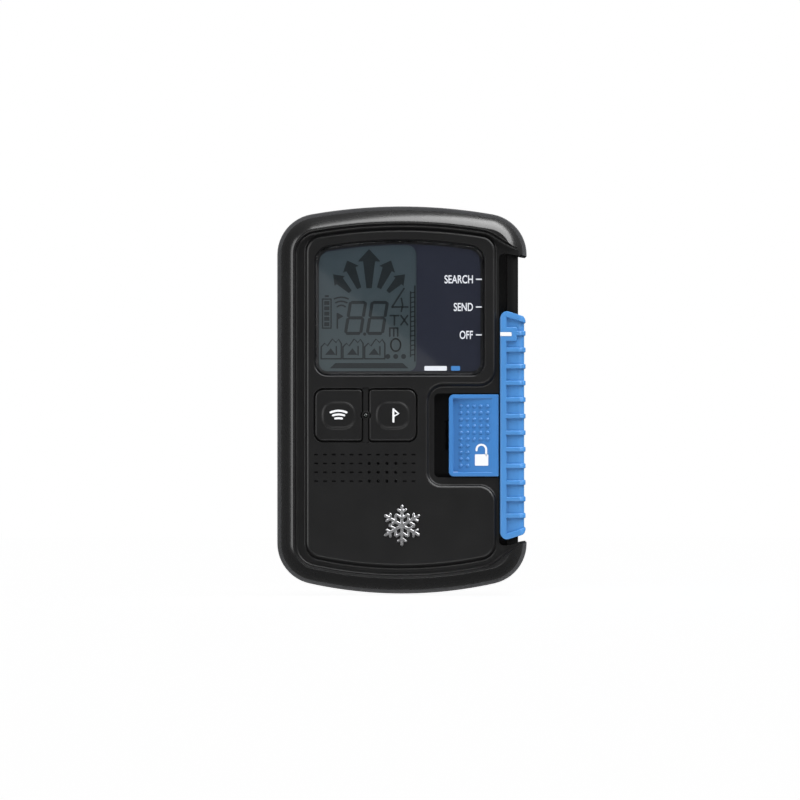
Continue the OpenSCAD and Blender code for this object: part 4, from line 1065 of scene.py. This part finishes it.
def make_switch():
    """The sliding mode switch: a channel that grips the case's edge, with ribs across its face."""
    section = split_long(switch_section(), 0.7)
    ends = [(0.0, -0.2), (0.06, -0.07), (0.22, 0.0)]
    rings = [at_heights(section, switch_end(False, inwards), out) for inwards, out in ends]
    rings += [at_heights(section, switch_end(True, inwards), out) for inwards, out in reversed(ends)]
    body = skin(rings)
    low, high = extent("slide_switch")
    rib = switch().rib
    first = high.z - 6.7
    centres = [first - i * switch().rib_pitch for i in range(12)]
    pockets = bmesh.new()
    flat = [(low.x, 0.0), (high.x, 0.0)]
    edges = [end_wall(True)]
    for z in centres:
        edges.append([(x, z + rib / 2) for x, _ in flat])
        edges.append([(x, z - rib / 2) for x, _ in flat])
    edges.append(end_wall(False))
    for i in range(0, len(edges), 2):
        pocket(pockets, edges[i + 1], edges[i])
    mark_low, mark_high = extent("switch_index_mark")
    mark_z = (mark_low.z + mark_high.z) / 2
    boss = layers(oblong(low.x + 0.9, mark_z - 2.15, low.x + 5.1, mark_z + 2.15, 0.35),
                  [(0.1, low.y + 1.2), (0.1, low.y + 0.75), (0, low.y + 0.3), (-0.08, low.y + 0.1),
                   (-0.25, low.y)])
    seat = layers(oblong(low.x - 1, mark_z - 0.65, low.x + 3.55, mark_z + 0.65, 0.2),
                  [(0, low.y + 0.4), (0, low.y - 1)])
    notches = bmesh.new()
    lock_mid = sum(v.z for v in extent("lock_button")) / 2
    block((low.x - 1, -12.4, lock_mid - 3), (low.x + 1.2, -9.6, lock_mid + 3), 0, notches)
    return worked(body, ("DIFFERENCE", pockets), ("UNION", boss), ("DIFFERENCE", seat),
                  ("DIFFERENCE", notches))


class TRANSCEIVER_OT_mode_switch(bpy.types.Operator):
    """Model the ribbed mode switch and its white index mark"""
    bl_idname = "transceiver.mode_switch"
    bl_label = "Mode Switch"

    def execute(self, context):
        add_piece("mode_switch", make_switch(), "switch", [FINISH["switch_plastic"]] * 2,
                  ["slide_switch"], 38)
        low, high = extent("switch_index_mark")
        mark = layers(oblong(low.x, low.z, high.x, high.z, 0.15),
                      [(0, high.y), (0, low.y + 0.12), (-0.04, low.y + 0.03), (-0.12, low.y)])
        add_piece("index_mark", mark, "switch", FINISH["white_plastic"],
                  ["switch_index_mark"])
        return {"FINISHED"}


# ---------------------------------------------------------------- the lock

def lock_floor(x):
    """Depth of the lock's thumb recess, which ramps up towards the switch."""
    low, high = extent("lock_button")
    deep_x, flush_x = low.x + switch().lock_lip + 1.4, high.x - 2
    share = min(1.0, max(0.0, (flush_x - x) / (flush_x - deep_x)))
    return low.y + switch().thumb * share


def padlock(y):
    """An open padlock as a thin print: body, shackle and the gap it leaves."""
    bm = bmesh.new()
    layers(oblong(22.1, 39.1, 26.15, 42.55, 0.3), [(0, 0.0), (0, -0.1)], 0, bm)
    loop = arc(24.05, 44.0, 1.45, 0, 180, 16) + [Vector((22.6, 43.75))]
    path = [Vector((25.5, 42.3))] + loop
    ribbon(bm, path, 0.6, 0.0, -0.1)
    for vert in bm.verts:
        vert.co.y += y(vert.co.x)
    return bm


def ribbon(bm, path, width, back, front):
    """A flat strip of even width along an open path, with round ends."""
    half = width / 2
    left, right = [], []
    for i, here in enumerate(path):
        before = path[max(0, i - 1)]
        after = path[min(len(path) - 1, i + 1)]
        ahead = (after - before).normalized()
        normal = Vector((-ahead.y, ahead.x)) * half
        left.append(here + normal)
        right.append(here - normal)
    start = math.degrees(math.atan2((path[0] - path[1]).y, (path[0] - path[1]).x))
    end = math.degrees(math.atan2((path[-1] - path[-2]).y, (path[-1] - path[-2]).x))
    cap_end = arc(path[-1].x, path[-1].y, half, end - 90, end + 90, 6)[1:-1]
    cap_start = arc(path[0].x, path[0].y, half, start - 90, start + 90, 6)[1:-1]
    loop = right + cap_end + left[::-1] + cap_start
    skin([at_depth(loop, back), at_depth(loop, front)], 0, bm)


def make_lock():
    """The lock: a tile with a raised lip around a ramped thumb recess full of grip dots."""
    low, high = extent("lock_button")
    lip, depth = switch().lock_lip, switch().thumb
    tile_back = FRONT + 4.5
    tile = layers(oblong(low.x, low.z, high.x, high.z, 1.5, 0.3, 0.3, 1.5),
                  [(-0.15, tile_back), (0, tile_back - 0.2), (0, low.y + 0.35), (-0.1, low.y + 0.1),
                   (-0.32, low.y)])
    recess_x, flush_x = low.x + lip, high.x - 2

    def section(share):
        floor = low.y + depth * share
        return rounded([(recess_x - 0.12, low.y - 1, 0.1), (flush_x + 0.1, low.y - 1, 0.1),
                        (flush_x, low.y, 0.05), (recess_x + 1.4, floor, 0.6), (recess_x, floor, 0.25)], 5)
    rings = []
    z0, z1 = low.z + lip, high.z - lip
    for z, share in ((z0 - 0.2, 0.02), (z0 - 0.07, 0.08), (z0, 0.25), (z0 + 0.1, 0.9), (z0 + 0.25, 1.0),
                     (z1 - 0.25, 1.0), (z1 - 0.1, 0.9), (z1, 0.25), (z1 + 0.07, 0.08), (z1 + 0.2, 0.02)):
        rings.append([Vector((p.x, p.y, z)) for p in section(share)])
    recess = skin(rings)
    stem_mid = (low.z + high.z) / 2
    stem = block((18, tile_back - 0.5, stem_mid - 4), (22, extent("lock_button")[1].y, stem_mid + 4))
    dots = bmesh.new()
    pitch = switch().dot_pitch
    for column in range(5):
        for row in range(10):
            if row < 4 and column >= 2:
                continue
            x, z = low.x + 3.7 + column * pitch, low.z + 3.3 + row * pitch
            turn = Matrix.Translation((x, lock_floor(x) + 0.02, z)) @ Matrix.Diagonal((1, 0.8, 1, 1))
            bmesh.ops.create_uvsphere(dots, u_segments=12, v_segments=8, radius=0.64,
                                      matrix=turn @ Matrix.Rotation(math.pi / 2, 4, "X"))
    return worked(tile, ("UNION", stem), ("DIFFERENCE", recess), ("UNION", dots))


class TRANSCEIVER_OT_switch_lock(bpy.types.Operator):
    """Model the sliding lock with its thumb recess, grip dots and white padlock"""
    bl_idname = "transceiver.switch_lock"
    bl_label = "Switch Lock"

    def execute(self, context):
        add_piece("lock_tile", make_lock(), "lock", FINISH["lock"], ["lock_button"], 35)
        add_piece("lock_print", padlock(lambda x: lock_floor(x) + 0.02), "lock", FINISH["white_plastic"])
        return {"FINISHED"}


# ---------------------------------------------------------------- the keys and the status light

def make_key(node):
    """One key: a plate with a soft edge and a raised pad in its middle."""
    low, high = extent(node)
    top = low.y + 0.35
    middle = Vector(((low.x + high.x) / 2, (low.z + high.z) / 2))
    plan = key_plan(node, 0)
    pad = oblong(middle.x - 4.9, middle.y - 4.0, middle.x + 4.9, middle.y + 4.0, 3.4)
    rings = [at_depth(grown(plan, 0.5), high.y), at_depth(grown(plan, 0.5), high.y - 0.5),
             at_depth(plan, high.y - 0.5)]
    for out, y in ((0, top + 0.4), (-0.1, top + 0.14), (-0.32, top + 0.02), (-0.6, top)):
        rings.append(at_depth(grown(plan, out), y))
    for out, y in ((0.55, top), (0.3, top - 0.03), (0.05, top - 0.11), (-0.2, top - 0.22), (-0.5, top - 0.31),
                   (-0.9, top - 0.35)):
        rings.append(at_depth(grown(pad, out), y))
    light = extent("status_lens")
    bite = rod((light[0].x + light[1].x) / 2, (light[0].z + light[1].z) / 2,
               [(1.55, high.y + 1), (1.55, top + 0.2), (1.7, top), (1.7, low.y - 1)])
    return worked(skin(rings), ("DIFFERENCE", bite))


class TRANSCEIVER_OT_keys(bpy.types.Operator):
    """Model the two keys with their white symbols, and the status light between them"""
    bl_idname = "transceiver.keys"
    bl_label = "Keys and Status Light"

    def execute(self, context):
        for node, body in (("scan_button", "scan_key"), ("mark_button", "mark_key")):
            add_piece(node.replace("button", "keytop"), make_key(node), body, FINISH["key_plastic"],
                      [node])
        low, high = extent("scan_button")
        x, z = (low.x + high.x) / 2, (low.z + high.z) / 2
        front = low.y + 0.02
        waves = bmesh.new()
        for half, rise, lift in ((2.4, 0.9, 0.50), (1.7, 0.0, 0.26), (1.0, -0.95, 0.10)):
            path = [Vector((x + half * t, z + rise + lift * (1 - t * t)))
                    for t in [i / 6 for i in range(-6, 7)]]
            ribbon(waves, path, 0.62, front, front - 0.05)
        add_piece("scan_symbol", waves, "scan_key", FINISH["white_plastic"])
        low, high = extent("mark_button")
        x = (low.x + high.x) / 2 + 0.2
        flag = bmesh.new()
        ribbon(flag, [Vector((x, z - 1.9)), Vector((x, z + 0.6)), Vector((x, z + 1.85))], 0.6,
               front, front - 0.05)
        ribbon(flag, [Vector((x + 0.1, z + 1.75)), Vector((x + 1.55, z + 0.55)), Vector((x + 0.2, z - 0.25))],
               0.5, front, front - 0.06)
        add_piece("mark_symbol", flag, "mark_key", FINISH["white_plastic"])
        light = extent("status_lens")
        lens = rod((light[0].x + light[1].x) / 2, (light[0].z + light[1].z) / 2,
                   [(0.55, light[1].y), (0.55, light[0].y + 0.35), (0.5, light[0].y + 0.15),
                    (0.35, light[0].y + 0.04), (0.15, light[0].y)], sides=24)
        add_piece("light_bead", lens, "root", FINISH["lens_plastic"], ["status_lens"])
        return {"FINISHED"}


# ---------------------------------------------------------------- the window and what shows in it

def crystal_plan(gap):
    """The clear opening of the print, over the liquid crystal."""
    low, high = extent("display_window")
    right = 4.4
    inset = 0.75
    top = crown(low.x + inset, right, high.z - 130, 130 - 1.4, 4.2, 3.0)
    bottom = low.z + 1.25
    path = top + corner_arc(top[-1], (low.x + inset, bottom), (right, bottom), 3.0, STEPS)
    path += corner_arc((low.x + inset, bottom), (right, bottom), top[0], 2.5, STEPS)
    return grown(path, gap)


def stroke(bm, points, width, y):
    """A thin segment of the display along an open line of (x, z) points."""
    ribbon(bm, [Vector(p) for p in points], width, y, y - 0.03)


def plate(bm, points, y):
    """A thin filled segment of the display."""
    path = [Vector(p) for p in points]
    skin([at_depth(path, y), at_depth(path, y - 0.03)], 0, bm)


def direction_arrows(bm, y):
    """The fan of five arrows that point towards the other transceiver."""
    pivot = Vector((-9.98, 86.0))
    fan = [(0, 18.8, 6.9, 6.9, 1.9), (-23.5, 16.7, 7.5, 5.2, 1.6), (23.5, 16.7, 7.5, 5.2, 1.6),
           (-44.5, 15.6, 8.1, 4.3, 1.4), (44.5, 15.6, 8.1, 4.3, 1.4)]
    for angle, tip, base, head, stem in fan:
        neck = tip - 3.8 if angle == 0 else tip - 2.9
        shape = [(0, tip), (-head / 2, neck), (-stem * 0.95, neck), (-stem * 0.42, base), (stem * 0.42, base),
                 (stem * 0.95, neck), (head / 2, neck)]
        turn = Matrix.Rotation(math.radians(-angle), 2)
        plate(bm, [pivot + turn @ Vector(p) for p in shape], y)


def digit(bm, x, z, width, height, y):
    """A slanted seven-segment figure eight."""
    lean = 0.16
    gap, thick = 0.35, 0.95
    half = height / 2

    def at(u, v):
        return (x + u + lean * v, z + v)
    for v in (0.4, half, height - 0.4):
        stroke(bm, [at(gap + 0.6, v), at(width / 2, v), at(width - gap - 0.6, v)], thick, y)
    for u in (0.4, width - 0.4):
        for v in (gap + 0.6, half + gap + 0.35):
            stroke(bm, [at(u, v), at(u, v + half / 2 - gap - 0.3), at(u, v + half - 2 * gap - 0.75)],
                   thick, y)


def slope_box(bm, left, y):
    """A box with a ridge line and a small flag in it, for one of the ranked signals."""
    low, width, thick = 71.5, 6.1, 0.42
    right = left + width
    ridge = [(left, low + 3.6), (left + 1.1, low + 4.7), (left + 1.9, low + 3.9), (left + 3.4, low + 6.0),
             (left + 4.5, low + 4.9), (right - 0.8, low + 5.9), (right, low + 4.6)]
    stroke(bm, [(left, low), (left, low + 2), ridge[0]], thick, y)
    stroke(bm, [(right, low), (right, low + 2), ridge[-1]], thick, y)
    stroke(bm, [(left, low), (left + 3, low), (right, low)], thick, y)
    stroke(bm, ridge, thick, y)
    plate(bm, [(left + 1.2, low + 1.2), (left + 4.4, low + 1.2), (left + 2.9, low + 3.2)], y)
    stroke(bm, [(left + 4.6, low + 1.2), (left + 4.6, low + 2.4), (left + 4.6, low + 3.7)], thick, y)


def display_segments(y):
    """Every segment of the display, unlit and only just darker than its ground."""
    bm = bmesh.new()
    direction_arrows(bm, y)
    digit(bm, -17.6, 78.8, 5.4, 10.2, y)
    digit(bm, -11.0, 78.8, 5.4, 10.2, y)
    plate(bm, disc_path(-11.3, 79.0, 0.5, 12), y)
    cell = [(-24.1, 80.8), (-21.5, 80.8), (-21.5, 89.6), (-24.1, 89.6), (-24.1, 80.8)]
    for a, b in zip(cell, cell[1:]):
        stroke(bm, [a, ((a[0] + b[0]) / 2, (a[1] + b[1]) / 2), b], 0.4, y)
    for i in range(5):
        plate(bm, [(-23.6, 81.4 + 1.6 * i), (-22.0, 81.4 + 1.6 * i), (-22.0, 82.6 + 1.6 * i),
                   (-23.6, 82.6 + 1.6 * i)], y)
    plate(bm, [(-23.4, 90.2), (-22.2, 90.2), (-22.2, 90.8), (-23.4, 90.8)], y)
    for half, z in ((2.1, 89.7), (1.7, 88.5), (1.2, 87.3)):
        stroke(bm, [(-18.4 - half, z), (-18.4 - half / 2, z + 0.35), (-18.4, z + 0.45),
                    (-18.4 + half / 2, z + 0.35), (-18.4 + half, z)], 0.5, y)
    stroke(bm, [(-19.6, 80.8), (-19.6, 83), (-19.6, 85.2)], 0.5, y)
    plate(bm, [(-19.4, 85.4), (-17.7, 84.4), (-19.4, 83.4)], y)
    for points in ([(-3.0, 87.2), (-1.2, 90.0), (0.6, 92.8)], [(-3.0, 87.2), (-0.6, 87.2), (1.8, 87.2)],
                   [(-0.2, 85.9), (0.2, 87.8), (-0.2, 89.8)], [(-3.6, 84.6), (-2.3, 84.6), (-1.0, 84.6)],
                   [(-2.3, 84.6), (-2.3, 83.2), (-2.3, 81.8)], [(-0.3, 81.8), (0.7, 83.2), (1.7, 84.6)],
                   [(-0.3, 84.6), (0.7, 83.2), (1.7, 81.8)], [(-3.7, 78.4), (-3.7, 79.6), (-3.7, 80.8)],
                   [(-2.5, 78.4), (-2.5, 79.6), (-2.5, 80.8)], [(-1.3, 78.4), (-1.3, 79.6), (-1.3, 80.8)],
                   [(-3.7, 80.8), (-2.5, 80.8), (-1.3, 80.8)]):
        stroke(bm, points, 0.5, y)
    for left in (-24.5, -17.9, -11.3):
        slope_box(bm, left, y)
    ring = [(-1.9 + 1.5 * math.cos(a), 75.7 + 1.9 * math.sin(a))
            for a in [i * math.pi / 10 for i in range(20)]]
    for a, b, c in zip(ring, ring[1:] + ring[:1], ring[2:] + ring[:2]):
        stroke(bm, [a, b, c], 0.45, y)
    for x in (-4.3, -1.9, 0.5):
        plate(bm, disc_path(x, 72.2, 0.75, 16), y)
    plate(bm, [(-21.9, 68.6), (2.0, 68.6), (0.2, 70.2), (-20.2, 70.2)], y)
    stroke(bm, [(2.6, 72.2), (2.6, 82), (2.6, 91.8)], 0.4, y)
    stroke(bm, [(3.9, 70.8), (3.9, 82), (3.9, 93.6)], 0.4, y)
    for i in range(14):
        stroke(bm, [(2.6, 72.6 + 1.45 * i), (3.2, 72.7 + 1.45 * i), (3.9, 72.8 + 1.45 * i)], 0.35, y)
    return bm


def lettering(text, right, z, height, width, y, bm):
    """One word, its right end at right, squeezed to the given width and height."""
    curve = bpy.data.curves.new("word", "FONT")
    curve.body = text
    curve.offset = 0.012
    word = bpy.data.objects.new("word", curve)
    bpy.context.scene.collection.objects.link(word)
    mesh = bpy.data.meshes.new_from_object(word.evaluated_get(bpy.context.evaluated_depsgraph_get()))
    letters = bmesh.new()
    letters.from_mesh(mesh)
    bpy.data.objects.remove(word)
    bpy.data.curves.remove(curve)
    bpy.data.meshes.remove(mesh)
    xs = [v.co.x for v in letters.verts]
    ys = [v.co.y for v in letters.verts]
    across, up = width / (max(xs) - min(xs)), height / (max(ys) - min(ys))
    for vert in letters.verts:
        vert.co = Vector((right - (max(xs) - vert.co.x) * across, y, z + (vert.co.y - min(ys)) * up))
    bmesh.ops.remove_doubles(letters, verts=letters.verts, dist=0.0005)
    bmesh.ops.recalc_face_normals(letters, faces=letters.faces)
    for face in letters.faces:
        if face.normal.y > 0:
            face.normal_flip()
    made = bmesh.ops.extrude_face_region(letters, geom=list(letters.faces), use_keep_orig=True)["geom"]
    raised = [v for v in made if isinstance(v, bmesh.types.BMVert)]
    bmesh.ops.translate(letters, vec=(0, -0.03, 0), verts=raised)
    bmesh.ops.recalc_face_normals(letters, faces=letters.faces)
    copy = bpy.data.meshes.new("letters")
    letters.to_mesh(copy)
    letters.free()
    bm.from_mesh(copy)
    bpy.data.meshes.remove(copy)


class TRANSCEIVER_OT_display(bpy.types.Operator):
    """Model the window, its dark print and markings, the liquid crystal and its segments"""
    bl_idname = "transceiver.display"
    bl_label = "Display and Window"

    def execute(self, context):
        low, high = extent("display_window")
        glass = layers(window_plan(0), [(0, high.y), (0, low.y + 0.5), (-0.06, low.y + 0.4),
                                        (-0.4, low.y + 0.06), (-0.5, low.y)])
        add_piece("window", glass, "root", FINISH["window_glass"], ["display_window"])
        print_low, print_high = extent("window_print")
        back, front = print_high.y, print_low.y + 0.02
        mask = layers(window_plan(-0.05), [(0, back), (0, front)])
        opening = layers(crystal_plan(0), [(0, back + 1), (0, front - 1)])
        add_piece("window_mask", worked(mask, ("DIFFERENCE", opening)), "root", FINISH["print_ink"],
                  ["window_print"])
        crystal_high = extent("lcd_panel")[1]
        y = back + 0.12
        panel = layers(crystal_plan(0.5), [(0, crystal_high.y), (0, y)])
        add_piece("crystal", panel, "root", FINISH["display_glass"], ["lcd_panel"])
        add_piece("segments", display_segments(y - 0.01), "root", FINISH["segment"])
        words = bmesh.new()
        legends = front - 0.012
        for text, width, z in (("SEARCH", 8.6, 94.35), ("SEND", 5.8, 85.95), ("OFF", 4.0, 77.5)):
            lettering(text, 21.5, z, 2.5, width, legends, words)
            layers(oblong(22.4, z + 1.05, 24.2, z + 1.45, 0.1), [(0, legends), (0, legends - 0.03)], 0, words)
        layers(oblong(6.8, 67.9, 13.6, 69.3, 0.3), [(0, legends), (0, legends - 0.03)], 0, words)
        add_piece("legends", words, "root", FINISH["white_plastic"])
        bar = layers(oblong(14.9, 67.9, 17.6, 69.3, 0.3), [(0, legends), (0, legends - 0.03)])
        add_piece("blue_bar", bar, "root", FINISH["product_bar"])
        return {"FINISHED"}


# ---------------------------------------------------------------- the badge

class TRANSCEIVER_OT_badge(bpy.types.Operator):
    """Model the brushed snow crystal on the front"""
    bl_idname = "transceiver.badge"
    bl_label = "Badge"

    def execute(self, context):
        low, high = extent("badge")
        middle = (low + high) / 2
        arm = (high.z - low.z) / 2
        w, b = 0.45, 0.36
        root = w / math.sin(math.radians(30))
        side = [Vector((w, root * math.cos(math.radians(30)) + 0.1))]
        lean = Vector((math.sin(math.radians(58)), math.cos(math.radians(58))))
        across = Vector((lean.y, -lean.x)) * b
        for start, reach in ((2.2, 2.1), (4.0, 1.5)):
            foot = Vector((0, start))
            side += [Vector((w, start + (w - across.x) / lean.x * lean.y + across.y)),
                     foot + lean * reach + across,
                     foot + lean * (reach + 0.3), foot + lean * reach - across,
                     Vector((w, start + (w + across.x) / lean.x * lean.y - across.y))]
        side += [Vector((w, arm - 0.4)), Vector((0, arm))]
        outline_points = []
        for i in range(6):
            turn = Matrix.Rotation(math.radians(60 * i), 2)
            mirrored = [Vector((-p.x, p.y)) for p in reversed(side[:-1])]
            spoke = side + mirrored
            outline_points += [turn @ p + Vector((middle.x, middle.z)) for p in spoke]
        crystal = layers(outline_points, [(0, high.y), (0, low.y + 0.12), (-0.12, low.y)])
        add_piece("snow_crystal", crystal, "root", FINISH["badge_metal"], ["badge"], 20)
        return {"FINISHED"}


# ---------------------------------------------------------------- the battery cells

def make_cell(node, flipped):
    """One cell, turned about its axis: rolled ends, a jacket with a band, a knob on the positive end."""
    low, high = extent(node)
    middle = (low + high) / 2
    radius = (high.x - low.x) / 2
    tall = high.z - low.z
    profile = [(0.0, 0.25), (3.6, 0.25), (3.9, 0.0), (4.6, 0.0), (4.95, 0.15), (5.15, 0.5), (radius, 0.9),
               (radius, tall * 0.72), (radius, tall - 2.2), (5.15, tall - 1.75), (4.8, tall - 1.35),
               (4.3, tall - 1.2), (3.9, tall - 1.45), (2.3, tall - 1.45), (1.9, tall - 1.2),
               (1.9, tall - 0.3), (1.7, tall - 0.08), (1.4, tall), (0.0, tall)]
    bm = bmesh.new()
    verts = [bm.verts.new((r, 0, z)) for r, z in profile]
    edges = [bm.edges.new(pair) for pair in zip(verts, verts[1:])]
    bmesh.ops.spin(bm, geom=verts + edges, axis=(0, 0, 1), cent=(0, 0, 0), angle=2 * math.pi, steps=48,
                   use_merge=True)
    bmesh.ops.remove_doubles(bm, verts=bm.verts, dist=0.0005)
    bmesh.ops.recalc_face_normals(bm, faces=bm.faces)
    for face in bm.faces:
        place = face.calc_center_median()
        reach = math.hypot(place.x, place.y)
        if reach < 4.4:
            face.material_index = 2
        elif place.z > tall * 0.72:
            face.material_index = 1
    if flipped:
        bmesh.ops.rotate(bm, verts=bm.verts, cent=(0, 0, tall / 2), matrix=Matrix.Rotation(math.pi, 3, "X"))
    bmesh.ops.translate(bm, vec=(middle.x, middle.y, low.z), verts=bm.verts)
    return bm


class TRANSCEIVER_OT_battery_cells(bpy.types.Operator):
    """Model the three battery cells"""
    bl_idname = "transceiver.battery_cells"
    bl_label = "Battery Cells"

    def execute(self, context):
        finishes = [FINISH["cell_jacket"], FINISH["cell_band"], FINISH["contact_metal"]]
        for number in (1, 2, 3):
            node = f"battery_cell_{number}"
            add_piece(f"cell_{number}", make_cell(node, number == 2), "root", finishes, [node])
        return {"FINISHED"}


# ---------------------------------------------------------------- everything inside

class TRANSCEIVER_OT_inner_parts(bpy.types.Operator):
    """Give every part that keeps its CAD shape the finish of its material slot"""
    bl_idname = "transceiver.inner_parts"
    bl_label = "Finishes of Inner Parts"

    def execute(self, context):
        for part in frame["record"]["subparts"]:
            node = frame["nodes"][part["node"]]
            for material_slot in node.material_slots:
                material_slot.material = FINISH[part["material_slot"]]
        return {"FINISHED"}


# ---------------------------------------------------------------- the stage

def area_light(name, place, target, size, power, colour=(1, 1, 1)):
    """A soft square light aimed at a point."""
    light = bpy.data.lights.new(name, "AREA")
    light.shape = "RECTANGLE"
    light.size, light.size_y = size
    light.energy = power
    light.color = colour
    lamp = bpy.data.objects.new(name, light)
    lamp.location = place
    lamp.rotation_euler = (Vector(target) - Vector(place)).to_track_quat("-Z", "Y").to_euler()
    bpy.context.scene.collection.objects.link(lamp)
    return lamp


def pass_over(lamp, floor):
    """Lets a light neither light the floor nor be shaded by it, so that the floor stays plain."""
    for purpose in ("receiver_collection", "blocker_collection"):
        group = bpy.data.collections.new(f"{lamp.name}_{purpose}")
        group.objects.link(floor)
        group.collection_objects[0].light_linking.link_state = "EXCLUDE"
        setattr(lamp.light_linking, purpose, group)


class TRANSCEIVER_OT_stage(bpy.types.Operator):
    """Set up the pale floor, the soft lights and the camera"""
    bl_idname = "transceiver.stage"
    bl_label = "Stage"

    def execute(self, context):
        scene = context.scene
        stage = scene.stage_settings
        middle_z = HEIGHT / 2 * MM
        side_step = -0.6 * MM
        lens_data = bpy.data.cameras.new("Camera")
        lens_data.sensor_width = 36.0
        lens_data.lens = lens_data.sensor_width * stage.distance / stage.view_height
        lens_data.clip_start = 0.05
        camera = bpy.data.objects.new("Camera", lens_data)
        camera.location = (side_step, -stage.distance, middle_z)
        camera.rotation_euler = (math.pi / 2, 0, 0)
        scene.collection.objects.link(camera)
        scene.camera = camera
        bpy.context.scene.camera = camera

        floor_nodes = Nodes("floor_pale")
        pale = floor_nodes.blended(floor_nodes.noise(3, 2), (0.93, 0.93, 0.935), (0.95, 0.95, 0.95))
        floor_nodes.link(pale, floor_nodes.shader.inputs["Base Color"])
        floor_nodes.shader.inputs["Roughness"].default_value = 0.9
        floor_nodes.shader.inputs["Specular IOR Level"].default_value = 0.1
        floor_nodes.shader.inputs["Emission Color"].default_value = (1, 1, 1, 1)
        floor_nodes.shader.inputs["Emission Strength"].default_value = 0.92
        bm = bmesh.new()
        bmesh.ops.create_circle(bm, cap_ends=True, segments=128, radius=1.2)
        bmesh.ops.translate(bm, vec=(0, -0.7, -0.0002), verts=bm.verts)
        mesh = bpy.data.meshes.new("floor")
        bm.to_mesh(mesh)
        bm.free()
        mesh.materials.append(floor_nodes.material)
        floor = bpy.data.objects.new("floor", mesh)
        floor.visible_glossy = False
        scene.collection.objects.link(floor)

        target = (0, 0, middle_z)
        key = area_light("key_light", (0.50, -0.20, 0.75), (0.30, -0.1, 0), (1.1, 1.3), stage.key_power)
        left = area_light("left_light", (-0.85, -0.55, 0.25), target, (0.7, 0.9), stage.left_power)
        right = area_light("right_light", (0.75, -0.45, 0.35), target, (0.2, 0.6), stage.right_power)
        low = area_light("low_light", (0.10, -0.72, -0.32), target, (0.8, 0.14), stage.low_power)
        card = area_light("front_card", (-0.0394, -1.2, 0.073), (-0.0394, 0, 0.073), (0.18, 0.09),
                          stage.card_power)
        card.rotation_euler.rotate_axis("Z", math.radians(-38.8))
        for lamp in (key, left, right, low, card):
            pass_over(lamp, floor)

        world = bpy.data.worlds.new("room")
        world.use_nodes = True
        scene.world = world
        tree = world.node_tree
        background = tree.nodes["Background"]
        background.inputs["Color"].default_value = (1, 1, 1, 1)
        path = tree.nodes.new("ShaderNodeLightPath")
        strength = tree.nodes.new("ShaderNodeMix")
        strength.inputs["A"].default_value = stage.ambient
        strength.inputs["B"].default_value = 1.0
        tree.links.new(path.outputs["Is Camera Ray"], strength.inputs["Factor"])
        tree.links.new(strength.outputs["Result"], background.inputs["Strength"])
        scene.view_settings.view_transform = "Standard"
        return {"FINISHED"}


# ---------------------------------------------------------------- panel and registration

OPERATORS = (
    TRANSCEIVER_OT_stage,
    TRANSCEIVER_OT_front_shell,
    TRANSCEIVER_OT_rear_shell,
    TRANSCEIVER_OT_battery_door,
    TRANSCEIVER_OT_mode_switch,
    TRANSCEIVER_OT_switch_lock,
    TRANSCEIVER_OT_keys,
    TRANSCEIVER_OT_display,
    TRANSCEIVER_OT_badge,
    TRANSCEIVER_OT_battery_cells,
    TRANSCEIVER_OT_inner_parts,
)
GROUPS = {
    "case_sizes": CaseSizes,
    "switch_sizes": SwitchSizes,
    "finishes": Finishes,
    "stage_settings": StageSettings,
}


class TRANSCEIVER_PT_panel(bpy.types.Panel):
    """Sizes, finishes and the buttons that make each piece"""
    bl_label = "Transceiver"
    bl_idname = "TRANSCEIVER_PT_panel"
    bl_space_type = "VIEW_3D"
    bl_region_type = "UI"
    bl_category = "Transceiver"

    def draw(self, context):
        for name, group in GROUPS.items():
            box = self.layout.box()
            box.label(text=name.replace("_", " ").capitalize())
            for value in group.__annotations__:
                box.prop(getattr(context.scene, name), value)
        for operator in OPERATORS:
            self.layout.operator(operator.bl_idname)


def register():
    """Registers the classes and hangs the property groups on the scene."""
    for cls in (*GROUPS.values(), *OPERATORS, TRANSCEIVER_PT_panel):
        bpy.utils.register_class(cls)
    for name, group in GROUPS.items():
        setattr(bpy.types.Scene, name, PointerProperty(type=group))


def unregister():
    """Takes everything that register added away again."""
    for name in GROUPS:
        delattr(bpy.types.Scene, name)
    for cls in (TRANSCEIVER_PT_panel, *reversed(OPERATORS), *GROUPS.values()):
        bpy.utils.unregister_class(cls)


def main():
    """Makes every piece in order."""
    register()
    FINISH.update(make_finishes())
    for operator in OPERATORS:
        group, name = operator.bl_idname.split(".")
        getattr(getattr(bpy.ops, group), name)()


if __name__ == "__main__":
    main()
